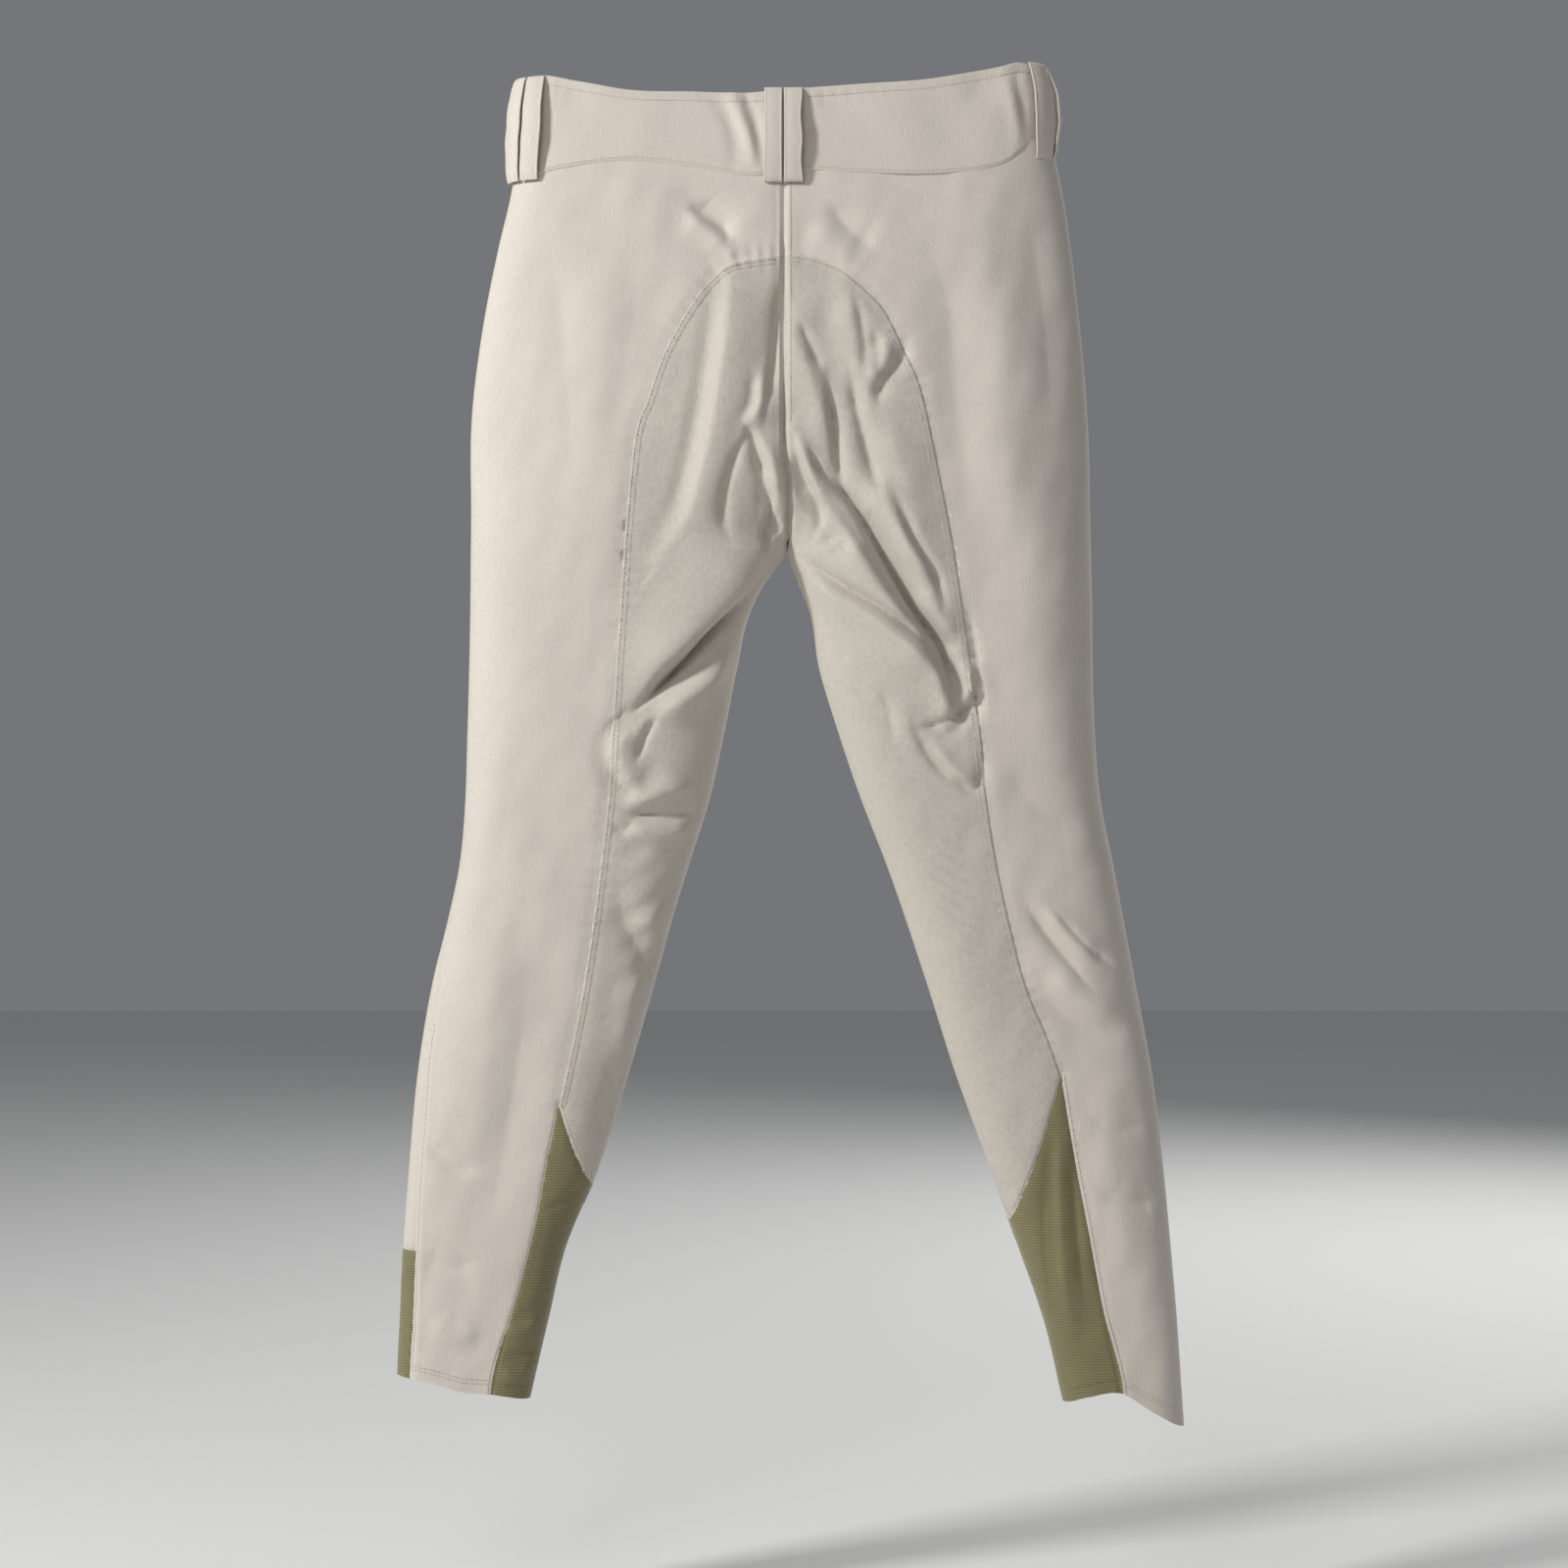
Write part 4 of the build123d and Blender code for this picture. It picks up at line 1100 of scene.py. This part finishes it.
def rows_on(side, face, lines, upper):
    """Rows of stitches along pattern lines, kept above or below the mid-thigh cut."""
    pitch = settings()[0].stitch * 1000
    rows = []
    for line in lines:
        p, a, n = sewing_row(cloth(), side, face, line, pitch)
        keep = (p[:, 2] > CUT) if upper else (p[:, 2] <= CUT)
        rows.append((p[keep], a[keep], n[keep]))
    return rows


class SeatPatches(bpy.types.Operator):
    """Builds the full-seat patches, upper and lower, left and right"""

    bl_idname = "breeches.seat_patches"
    bl_label = "Seat patches"

    def execute(self, context):
        for side, s in SIDES.items():
            for upper, kind in ((True, "seat_upper"), (False, "seat_lower")):
                q, parts = cut_parts(s, upper)
                panel(kind, side, [(q, parts["seat"])], "seat", upper,
                      cut_nodes("seat_patch", side, upper))
        return {"FINISHED"}


class BackPanels(bpy.types.Operator):
    """Builds the outer back panels with the yoke above the seat"""

    bl_idname = "breeches.back_panels"
    bl_label = "Back panels"

    def execute(self, context):
        for side, s in SIDES.items():
            for upper, kind in ((True, "back_panel_upper"), (False, "back_panel_lower")):
                q, parts = cut_parts(s, upper)
                panel(kind, side, [(q, parts["outer"])], "twill", upper,
                      cut_nodes("back_panel", side, upper))
        return {"FINISHED"}


class FrontPanels(bpy.types.Operator):
    """Builds the front panels, slit at the centre for the zip"""

    bl_idname = "breeches.front_panels"
    bl_label = "Front panels"

    def execute(self, context):
        for side, s in SIDES.items():
            for upper, kind in ((True, "front_panel_upper"), (False, "front_panel_lower")):
                q = quarters(s, FRONT, upper)
                middle = q.points[q.faces].mean(1)
                slit = (np.abs(middle[:, 0]) < 3.0) & (middle[:, 2] > -222)
                keep = ~slit if upper else q.v > SOCK_TOP
                panel(kind, side, [(q, keep)], "twill", upper,
                      cut_nodes("front_panel", side, upper))
        return {"FINISHED"}


class AnkleSocks(bpy.types.Operator):
    """Builds the ribbed ankle socks; their turned-up hems are built by Hems"""

    bl_idname = "breeches.ankle_socks"
    bl_label = "Ankle socks"

    def execute(self, context):
        for side, s in SIDES.items():
            q, parts = cut_parts(s, False)
            front = quarters(s, FRONT, False)
            panel("sock", side, [(q, parts["sock"]), (front, front.v <= SOCK_TOP)], "knit",
                  False, [f"ankle_sock_{side}"])
        return {"FINISHED"}


# Waistband ---------------------------------------------------------------------------------------
BAND_LIFT = 0.9  # how far the waistband's outer face stands off the cloth below


def band_top(face, x):
    """Height of the waistband's top edge, 2.5 mm lower in front."""
    return smooth(TOP_EDGE, x) - (0 if face == BACK else 2.5 * (1 - step_up(120, 182, np.abs(x))))


def girth(side, face, x, z):
    """A point of the band's wall: |x / wide|^n + (y / deep)^2 = 1."""
    wide = smooth(OUTER[side], z)
    n = 4 + 5 * step_up(-140, -20, z)
    q = np.clip(np.abs(x) / wide, 0, 1)
    return np.stack([side * q * wide, face * smooth(DEPTH, z) * np.sqrt(1 - q**n), z], -1)


def band_skin(side, face, phi, share):
    """A point of the waistband. share runs from 0 at the top edge to 1 at the seam below."""
    q = (1 + np.sin(phi)) / 2
    x = side * smooth(OUTER[side], -40 + 0 * phi) * q
    high = band_top(face, x)
    z = high + (smooth(BAND_SEAM, x) - high) * share
    return girth(side, face, q * smooth(OUTER[side], z), z)


def band_push(face, p):
    """How far the waistband's cloth stands off its plain shape: the pinch under each clip of a
    hanger, the centre-back seam, soft creases beside the middle loop and the edge stitching."""
    x, z = p[..., 0], p[..., 2]
    top = band_top(face, x)
    push = np.zeros(x.shape)
    for at, depth in ((-142, 1.5), (133, 1.9)):
        push -= depth * np.exp(-(((x - at) / 14) ** 2) - (((z - top + 12) / 16) ** 2))
    if face == BACK:
        push += 0.6 * groove(x, 1.4)
        for high, wide, line in BAND_FOLDS:
            d, along, length = near_line(through(line), x, z)
            push += high * np.exp(-((d / wide) ** 2)) * np.sin(
                math.pi * np.clip(along / length, 0.03, 0.97)) ** 0.5
    return push + pucker(z - top + 7, x, 5, 8, 0.16, 7) + 0.28 * groove(z - top + 7, 1.2)


BAND_FOLDS = [  # (height, width, points) on the back of the band
    (2.0, 4.5, [(-36, -8), (-30, -26), (-24, -40), (-18, -62)]),
    (-1.9, 4, [(-27, -10), (-21, -26), (-17, -44), (-16, -60)]),
    (-1.4, 5, [(-52, -12), (-40, -24), (-33, -44), (-34, -62)]),
    (-0.9, 5, [(20, -12), (34, -17), (50, -18)]),
    (-1.0, 14, [(96, -6), (112, -30), (120, -58)]),
    (0.8, 16, [(60, -10), (78, -34), (84, -60)]),
    (0.7, 14, [(-84, -12), (-96, -36), (-100, -60)]),
    (1.3, 5, [(150, 2), (155, -18), (158, -40), (156, -54)]),
    (-1.2, 4, [(156, 4), (161, -16), (163, -34)]),
]


def tucked(normals, distance, radius=1.0):
    """Normals shortened near an edge, so that the shell's rim is round: sqrt(1 - (1 - d / r)^2)."""
    t = np.clip(distance / radius, 0, 1)
    return normals * np.sqrt(np.clip(1 - (1 - t) ** 2, 0.0, 1))[..., None]


def band_frame(side, face, phi, share):
    """Points and outward normals of the waistband with its creases."""
    p = band_skin(side, face, phi, share)
    e = 0.004
    inward = np.where(phi > 0, -e, e)
    n = turned(p, band_skin(side, face, phi + inward, share),
               band_skin(side, face, phi, share + 0.004), side, face)
    n *= np.where(inward > 0, 1, -1)[..., None]
    calm = step_up(0.0, 0.35, np.abs(p[..., 1]) / smooth(DEPTH, p[..., 2]))
    return p + n * (band_push(face, p) * calm)[..., None], n


def band_half(side, face):
    """Points, outward normals and faces of a quarter of the waistband."""
    share = np.concatenate([[0, 0.003, 0.008, 0.015, 0.024], np.linspace(0.04, 0.96, 36),
                            [0.975, 0.985, 0.993, 1.0]])
    phi, share = np.meshgrid(np.linspace(-HALF_PI, HALF_PI, settings()[0].columns + 1), share)
    p, n = band_frame(side, face, phi, share)
    tall = band_top(face, p[..., 0]) - smooth(BAND_SEAM, p[..., 0])
    n = tucked(n, np.minimum(share, 1 - share) * tall)
    faces = triangles(*phi.shape, [])
    if side * face < 0:
        faces = faces[:, ::-1]
    return p.reshape(-1, 3), n.reshape(-1, 3), faces


def below_top(points, normals, faces):
    """The faces of a quarter of the band that lie more than 3 mm below its top edge."""
    z = points[faces, 2].max(1)
    top = smooth(TOP_EDGE, points[faces, 0].mean(1))
    return used(points, normals, faces[z < top - 3.0])


class Waistband(bpy.types.Operator):
    """Builds the waistband's two halves and their linings"""

    bl_idname = "breeches.waistband"
    bl_label = "Waistband"

    def execute(self, context):
        for side, s in SIDES.items():
            sheets = [band_half(s, BACK), band_half(s, FRONT)]
            thing = dressed(make_mesh(f"waistband_{side}", *sewn(sheets, BAND_LIFT, 0.9)), "twill")
            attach(thing, "hips")
            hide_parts(f"waistband_outer_{side}", f"waistband_interlining_{side}")
            thing = make_mesh(f"band_lining_{side}",
                              *sewn([below_top(*q) for q in sheets], -1.1, 1.9))
            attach(dressed(thing, "lining"), "hips")
            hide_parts(f"waistband_lining_{side}")
        return {"FINISHED"}


def tube(rings, caps=True):
    """Points and outward faces of a closed tube from rings of points, (rings, points each, 3)."""
    count, size = rings.shape[:2]
    index = np.arange(count * size).reshape(count, size)
    a, b = index[:-1], np.roll(index, -1, 1)[:-1]
    c, d = np.roll(index, -1, 1)[1:], index[1:]
    faces = np.vstack([np.stack([a, b, c], -1).reshape(-1, 3),
                       np.stack([a, c, d], -1).reshape(-1, 3)])
    ends = [faces]
    if caps:
        for ring, flip in ((index[0], -1), (index[-1], 1)):
            fan = np.stack([np.full(size - 2, ring[0]), ring[1:-1], ring[2:]], 1)
            ends.append(fan[:, ::flip])
    points = rings.reshape(-1, 3)
    faces = np.vstack(ends)
    if volume(points, faces) < 0:
        faces = faces[:, ::-1]
    return points, faces


def volume(points, faces):
    """Signed volume: the sum of a . (b x c) / 6 over the faces."""
    a, b, c = (points[faces[:, k]] for k in range(3))
    return (a * np.cross(b, c)).sum() / 6


def joined(parts):
    """One set of points and faces from several."""
    shift = np.cumsum([0, *[len(p) for p, _ in parts[:-1]]])
    return np.vstack([p for p, _ in parts]), np.vstack([f + s for (_, f), s in zip(parts, shift)])


def round_slab(count=28, square=0.32, lip=0.3):
    """A strap's section, across from -1 to 1 and out from -1 to 1, with fuller edges:
    (cos^s, sin^0.7) x (1 + lip across^8), and a slight dip where it is stitched."""
    turn = np.arange(count) * 2 * math.pi / count
    across = np.sign(np.cos(turn)) * np.abs(np.cos(turn)) ** square
    out = np.sign(np.sin(turn)) * np.abs(np.sin(turn)) ** 0.7
    out = out * (0.82 + lip * np.exp(-(((np.abs(across) - 0.93) / 0.1) ** 2))
                 - 0.25 * np.exp(-(((np.abs(across) - 0.74) / 0.09) ** 2)))
    return across, out


def around_band(side, face, middle, across, z):
    """Points of the band's wall at distances across, along the wall, from the place whose x is
    middle, and their outward directions. Positive is towards the wearer's right."""
    wide, deep, n = float(smooth(OUTER[side], np.array(-40.0))), 20.5, 8.3
    angle = np.linspace(-HALF_PI, HALF_PI, 2001)
    x = wide * np.sin(angle)
    y = face * deep * np.sqrt(1 - np.abs(np.sin(angle)) ** n)
    run = np.concatenate([[0], np.cumsum(np.hypot(np.diff(x), np.diff(y)))])
    at = np.interp(middle, x, run) + across
    over = np.where((at < 0) | (at > run[-1]), -1, 1)
    at = np.where(at < 0, -at, np.where(at > run[-1], 2 * run[-1] - at, at))
    sine = np.sin(np.interp(at, run, angle))
    wide, deep = smooth(OUTER[side], z), smooth(DEPTH, z)
    x = wide * sine
    y = face * deep * np.sqrt(np.clip(1 - np.abs(sine) ** n, 0, 1)) * over
    nx = np.sign(x) * np.abs(sine) ** (n - 1) / wide * n
    ny = 2 * y / deep**2
    size = np.hypot(nx, ny)
    return np.stack([x, y, z + 0 * x], -1), np.stack([nx / size, ny / size, 0 * x], -1)


def strap(side, face, middle, left, right, high, low, room, wave=0.0, splay=0.0):
    """A belt loop strap between two distances across, sewn at its ends and standing off the band by
    room x sin(pi s)^0.7 between them."""
    trim = settings()[1]
    across, out = round_slab()
    s = np.linspace(0, 1, 46)[:, None]
    z = high + (low - high) * s
    half = (right - left) / 2 * (1 - 0.035 * np.sin(math.pi * s))
    u = (left + right) / 2 + half * across[None] + wave * np.sin(s * 13 + 0.8) * (across > 0)
    u = u + splay * np.sign(left + right) * np.sin(math.pi * s) ** 0.7
    p, n = around_band(side, face, middle, u, z + 0 * u)
    thick = trim.strap_thickness * 500
    lift = BAND_LIFT + 1.05 * thick + room * np.sin(math.pi * s) ** 0.7
    soft = 0.25 * np.sin(s * 21 + middle) * np.sin(math.pi * s)
    p = p + n * (lift + soft + thick * out[None])[..., None]
    return tube(p)


LOOPS = [  # name, side, face, middle, top, bottom, room, waviness, splay
    ("belt_loop_centre_back", RIGHT, BACK, -0.6, -7.5, -72.4, 6.2, 0.5, 0.0),
    ("belt_loop_left_back", LEFT, BACK, -174.5, 1.5, -69.5, 6.0, 0.15, 0.0),
    ("belt_loop_right_side", RIGHT, BACK, 177.6, 11.5, -54.5, 8.6, 0.1, 1.3),
    ("belt_loop_left_front", LEFT, FRONT, -88.0, -9.0, -71.0, 6.2, 0.2, 0.0),
    ("belt_loop_right_front", RIGHT, FRONT, 88.0, -6.0, -70.0, 6.2, 0.2, 0.0),
]


class BeltLoops(bpy.types.Operator):
    """Builds the five belt loops, each of two straps side by side"""

    bl_idname = "breeches.belt_loops"
    bl_label = "Belt loops"

    def execute(self, context):
        trim = settings()[1]
        wide, room = trim.strap * 1000, trim.strap_gap * 500
        for name, side, face, middle, high, low, stand, wave, splay in LOOPS:
            parts = []
            for left, right in ((-wide - room, -room), (room, wide + room)):
                straight = wave if left > 0 else 0
                parts.append(strap(side, face, middle, left, right, high, low, stand, straight,
                                   splay))
            thing = dressed(make_mesh(f"{name}_straps", *joined(parts)), "twill")
            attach(thing, "hips")
            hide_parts(name)
        return {"FINISHED"}


# Sewing ----------------------------------------------------------------------------------------
def band_row(side, face, drop):
    """A row of stitches along a quarter of the waistband, at a drop below its top edge, or above
    its lower seam where the drop is negative."""
    pitch = settings()[0].stitch * 1000
    across = np.arange(4.0, 184.0, 0.5)
    phi = np.arcsin(np.clip(2 * across / smooth(OUTER[side], -40 + 0 * across) - 1, -1, 1))
    x = side * across
    tall = band_top(face, x) - smooth(BAND_SEAM, x)
    share = drop / tall if drop > 0 else 1 + drop / tall
    p, n = band_frame(side, face, phi, share)
    run = np.concatenate([[0], np.cumsum(np.linalg.norm(np.diff(p, axis=0), axis=1))])
    at = np.arange(0, run[-1], pitch)
    p = np.stack([np.interp(at, run, p[:, k]) for k in range(3)], 1)
    n = np.stack([np.interp(at, run, n[:, k]) for k in range(3)], 1)
    return p + n * (BAND_LIFT + 0.12), np.gradient(p, axis=0), n


class Sewing(bpy.types.Operator):
    """Sews the visible rows of stitching along the seams, the waistband and the hems"""

    bl_idname = "breeches.sewing"
    bl_label = "Sewing"

    def execute(self, context):
        for side, s in SIDES.items():
            seat = [beside(SEAT_EDGE[s], s * d)[2:] for d in (1.6, 4.6)]
            sock = [beside(SOCK_EDGE[s], s * 2.0), beside(SOCK_OUTER[s], -s * 2.0)[:-8]]
            middle = [np.array([(4.5, z) for z in np.arange(-66, -236, -3.0)])] if s > 0 else []
            rows = rows_on(s, BACK, seat + middle, True)
            over_fold(thread_piece(f"seat_sewing_upper_{side}", rows), True)
            cloth_edge = [self.level(s, *HEM_RUN[s], LOWEST + h) for h in (7.0, 10.0)]
            lines = [*seat, *sock, *cloth_edge]
            if s == LEFT:
                line = beside(SIDE_SEAM[2:], -2.0)
                lines.append(line[line[:, 1] > LOWEST + 2])
            rows = rows_on(s, BACK, lines, False)
            rows += rows_on(s, FRONT, [self.level(s, *FRONT_RUN[s], SOCK_TOP + 2.5)], False)
            over_fold(thread_piece(f"leg_sewing_{side}", rows), False)
            rows = rows_on(s, BACK, [self.level(s, *SOCK_RUN[s], LOWEST + 9.0)], False)
            whole = (SOCK_RUN[s][0], FRONT_RUN[s][1])
            rows += rows_on(s, FRONT, [self.level(s, *whole, LOWEST + 9.0)], False)
            over_fold(thread_piece(f"sock_sewing_{side}", rows, "sock thread"), False)
            rows = [band_row(s, face, drop) for face in (BACK, FRONT) for drop in (6.5, -2.2)]
            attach(thread_piece(f"band_sewing_{side}", rows), "hips")
        return {"FINISHED"}

    @staticmethod
    def level(side, near, far, height):
        """A level line of the pattern between two distances from the middle."""
        return np.array([(side * x, height) for x in np.arange(near, far, 2.0)])


# How far from the middle the level rows run: on the socks' hems, the cloth's hems and the front
SOCK_RUN = {LEFT: (177.0, 196.0), RIGHT: (194.0, 226.0)}
HEM_RUN = {LEFT: (200.0, 252.0), RIGHT: (231.0, 268.0)}
FRONT_RUN = {LEFT: (153.0, 256.0), RIGHT: (165.0, 259.0)}


HEM_UP = 20.0  # height of the turned-up hem


class Hems(bpy.types.Operator):
    """Builds the turned-up hems inside the ankles"""

    bl_idname = "breeches.hems"
    bl_label = "Hems"

    def execute(self, context):
        for side, s in SIDES.items():
            q, front = (quarters(s, face, False) for face in (BACK, FRONT))
            sheets = [q.cut(q.v < LOWEST + HEM_UP), front.cut(front.v < LOWEST + HEM_UP)]
            thing = make_mesh(f"hem_{side}", *sewn(sheets, -1.35, 2.3))
            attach(dressed(thing, "knit"), f"{side}_calf")
            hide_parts(f"hem_turn_up_{side}")
        return {"FINISHED"}


# Fly -------------------------------------------------------------------------------------------
FLY_DOWN = np.array([0, 0.083045, -0.996546])
FLY_OUT = np.array([0, 0.996546, 0.083045])


def on_fly(x, down, out):
    """A point of the fly: across, down the front wall from the top edge, and out from the wall."""
    x, down, out = np.broadcast_arrays(x, down, out)
    place = np.array([0, 19.0, 0]) + down[..., None] * FLY_DOWN + out[..., None] * FLY_OUT
    place[..., 0] += x
    return place


def plate(low, high, left, right, inner, outer, corner=0.0, bend=None):
    """A thin plate of the fly with full edges, running down from low to high between two sides,
    which may narrow at its ends: corner radius r takes off r - sqrt(r^2 - (r - d)^2) at each side.
    bend moves it out by bend(x, down)."""
    across, out = round_slab(32, 0.2, 0.22)
    ends = np.array([0, 0.15, 0.5, 1.0])
    run = np.concatenate([low + ends, np.linspace(low + 1.6, high - 1.6, 40), high - ends[::-1]])
    d = np.minimum(run - low, high - run)
    cut = np.where(d < corner, corner - np.sqrt(np.clip(corner**2 - (corner - d) ** 2, 0, None)), 0)
    half = ((right - left) / 2 - cut)[:, None]
    x = (left + right) / 2 + half * across[None]
    thin = np.sqrt(np.clip(1 - (1 - np.clip(d / 0.5, 0.02, 1)) ** 2, 0, 1))[:, None]
    up = (inner + outer) / 2 + (outer - inner) / 2 * out[None] * thin
    down = run[:, None] + 0 * x
    if bend is not None:
        up = up + bend(x, down)
    return tube(on_fly(x, down, up))


class Fly(bpy.types.Operator):
    """Builds the cloth parts of the front zip: tapes, facings and the shield behind them"""

    bl_idname = "breeches.fly"
    bl_label = "Fly"

    def execute(self, context):
        for side, s in SIDES.items():
            left, right = sorted((s * 3.25, s * 16.0))
            tape = make_mesh(f"tape_{side}", *plate(72.2, 221.8, left, right, -4.6, -3.8))
            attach(dressed(tape, "tape"), "hips")
            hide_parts(f"zip_tape_{side}")
            left, right = sorted((s * 6.7, s * 16.0))
            face = make_mesh(f"facing_{side}", *plate(72.2, 221.8, left, right, -3.7, -1.55))
            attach(dressed(face, "twill"), "hips")
            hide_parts(f"fly_facing_{side}")
        shield = joined([plate(72.2, 227.8, -16, 16, -8.1, -6.9), plate(72.2, 227.8, 11, 16, -7.0,
                                                                       -4.7)])
        shield = make_mesh("shield", *shield)
        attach(dressed(shield, "twill"), "hips")
        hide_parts("fly_shield")
        rows = []
        for x, low, high in ((-19.5, 70, 214), (19.5, 70, 214), (-24.0, 70, 212)):
            down = np.arange(low, high, settings()[0].stitch * 1000)
            curve = np.sign(x) * -1 * np.clip(down - (high - 26), 0, None) ** 2 / 40
            rows.append(self.row(x + curve, down, 0.1))
        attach(thread_piece("fly_sewing", rows), "hips")
        return {"FINISHED"}

    @staticmethod
    def row(x, down, out):
        p = on_fly(x, down, out)
        return p, np.gradient(p, axis=0), np.tile(FLY_OUT, (len(p), 1))


class WaistTab(bpy.types.Operator):
    """Builds the waist tab, its sewn base and the blank care label"""

    bl_idname = "breeches.waist_tab"
    bl_label = "Waist tab and label"

    def execute(self, context):
        base = make_mesh("tab_base", *plate(14, 62, -43, -28.4, 0.0, 3.4))
        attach(dressed(base, "twill"), "hips")
        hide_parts("waist_tab_base")
        tab = self.tab()
        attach(dressed(make_mesh("tab", *tab), "twill"), "waist_tab")
        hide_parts("waist_tab")
        pitch = settings()[0].stitch * 1000
        rows = [Fly.row(np.full(14, x), np.arange(14) * pitch + 17.5, 3.5)
                for x in (-40.6, -31.0)]
        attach(thread_piece("tab_base_sewing", rows), "hips")
        across = np.arange(-25.5, 27.0, pitch)
        rows = [Fly.row(across, 0 * across + down, 3.5) for down in (17.0, 59.0)]
        down = np.arange(19.0, 58.0, pitch)
        rows.append(Fly.row(0 * down + 29.0, down, 3.5))
        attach(thread_piece("tab_sewing", rows), "waist_tab")
        label = self.label()
        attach(dressed(make_mesh("label", *label), "label"), "hips")
        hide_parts("care_label")
        return {"FINISHED"}

    @staticmethod
    def tab():
        """The tab, in rings across it from its hinge to its rounded end."""
        down, out = round_slab(40, 0.14, 0.14)
        ends = np.array([0, 0.1, 0.35, 0.8, 1.5, 2.5, 3.6, 5.0])
        x = np.concatenate([[-28.0, -27.8, -27.4], np.linspace(-26, 26, 40), 32 - ends[::-1]])
        d = 32 - x
        cut = np.where(d < 5, 5 - np.sqrt(np.clip(25 - (5 - d) ** 2, 0, None)), 0)
        thin = np.sqrt(np.clip(1 - (1 - np.clip(np.minimum(x + 28, d) / 0.5, 0.05, 1)) ** 2, 0, 1))
        across = 38 + (24 - cut)[:, None] * down[None]
        up = 2.8 + 0.6 * out[None] * thin[:, None]
        return tube(on_fly(x[:, None] + 0 * across, across, up))

    @staticmethod
    def label():
        """The blank label inside the back of the waistband, a little wavy, sewn at its top."""
        across, out = round_slab(32, 0.15, 0.1)
        z = np.linspace(-62, -44.5, 30)[:, None]
        x = 17 * across[None] + 0 * z
        wave = 0.5 * np.sin(z * 0.5) * np.cos(x / 9) * np.clip((-44 - z) / 10, 0, 1)
        y = -19.9 + 0.2 * out[None] + wave - (z + 53) * -0.083
        return tube(np.stack([x, y, z + 0 * x], -1))


class Metalwork(bpy.types.Operator):
    """Gives the zip's teeth, stops, slider and pull and the press studs their satin nickel"""

    bl_idname = "breeches.metalwork"
    bl_label = "Metalwork"

    def execute(self, context):
        for name in ("zip_teeth_left", "zip_teeth_right", "zip_stops", "zip_slider", "zip_pull",
                     "snap_studs", "snap_sockets", "snap_caps"):
            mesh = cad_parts[name].data
            mesh.materials.clear()
            mesh.materials.append(finish_of("nickel"))
        return {"FINISHED"}


# Stage -----------------------------------------------------------------------------------------
class Stage(bpy.types.Operator):
    """Sets the floor, the lights and the camera"""

    bl_idname = "breeches.stage"
    bl_label = "Stage"

    def execute(self, context):
        _, _, stage = settings()
        scene = context.scene
        corners = [(x * 6000, y * 6000, FLOOR) for x, y in ((-1, -1), (1, -1), (1, 1), (-1, 1))]
        floor = make_mesh("floor", corners, [(0, 1, 2, 3)])
        floor.data.materials.append(finish_of("floor"))
        world = bpy.data.worlds.new("Pale room")
        world.use_nodes = True
        back = world.node_tree.nodes["Background"]
        back.inputs["Color"].default_value = (0.93, 0.95, 1.0, 1)
        back.inputs["Strength"].default_value = stage.fill
        scene.world = world
        for name, at, size, power in (
                ("key", (-1.9, -1.25, 0.75), 0.35, stage.key),
                ("soft", (-0.7, -2.3, 0.9), 0.9, stage.key * 0.2),
                ("front", (1.4, 2.2, 0.8), 1.4, stage.key * 0.8)):
            lamp = bpy.data.lights.new(name, "AREA")
            lamp.energy = power
            lamp.size = size
            thing = bpy.data.objects.new(name, lamp)
            thing.location = at
            aim = mathutils.Vector((0, 0, -0.45)) - mathutils.Vector(at)
            thing.rotation_euler = aim.to_track_quat("-Z", "Y").to_euler()
            scene.collection.objects.link(thing)
        camera = bpy.data.objects.new("camera", bpy.data.cameras.new("camera"))
        camera.location = (0, -stage.distance - 0.03, stage.eye)
        camera.rotation_euler = (HALF_PI, 0, 0)
        camera.data.lens = 75
        camera.data.sensor_width = 36
        scene.collection.objects.link(camera)
        scene.camera = camera
        scene.view_settings.view_transform = "Standard"
        return {"FINISHED"}


class BreechesPanel(bpy.types.Panel):
    """The sidebar panel with the sizes, the colours and one button per group of pieces"""

    bl_idname = "VIEW3D_PT_breeches"
    bl_label = "Riding breeches"
    bl_space_type = "VIEW_3D"
    bl_region_type = "UI"
    bl_category = "Breeches"

    def draw(self, context):
        for group in settings():
            box = self.layout.box()
            for key in group.bl_rna.properties.keys():
                if key not in ("rna_type", "name"):
                    box.prop(group, key)
        for operator in OPERATORS:
            self.layout.operator(operator.bl_idname)


OPERATORS = (SeatPatches, BackPanels, FrontPanels, AnkleSocks, Hems, Waistband, BeltLoops, Fly,
             WaistTab, Metalwork, Sewing, Stage)
GROUPS = (BreechesCloth, BreechesTrim, BreechesStage)


def register():
    for kind in (*GROUPS, *OPERATORS, BreechesPanel):
        bpy.utils.register_class(kind)
    bpy.types.Scene.breeches_cloth = bpy.props.PointerProperty(type=BreechesCloth)
    bpy.types.Scene.breeches_trim = bpy.props.PointerProperty(type=BreechesTrim)
    bpy.types.Scene.breeches_stage = bpy.props.PointerProperty(type=BreechesStage)


def unregister():
    for name in ("breeches_cloth", "breeches_trim", "breeches_stage"):
        delattr(bpy.types.Scene, name)
    for kind in reversed((*GROUPS, *OPERATORS, BreechesPanel)):
        bpy.utils.unregister_class(kind)


def main():
    register()
    for operator in OPERATORS:
        name = operator.bl_idname.split(".")[1]
        if "FINISHED" not in getattr(bpy.ops.breeches, name)():
            raise RuntimeError(f"{name} did not finish")


if __name__ == "__main__":
    main()
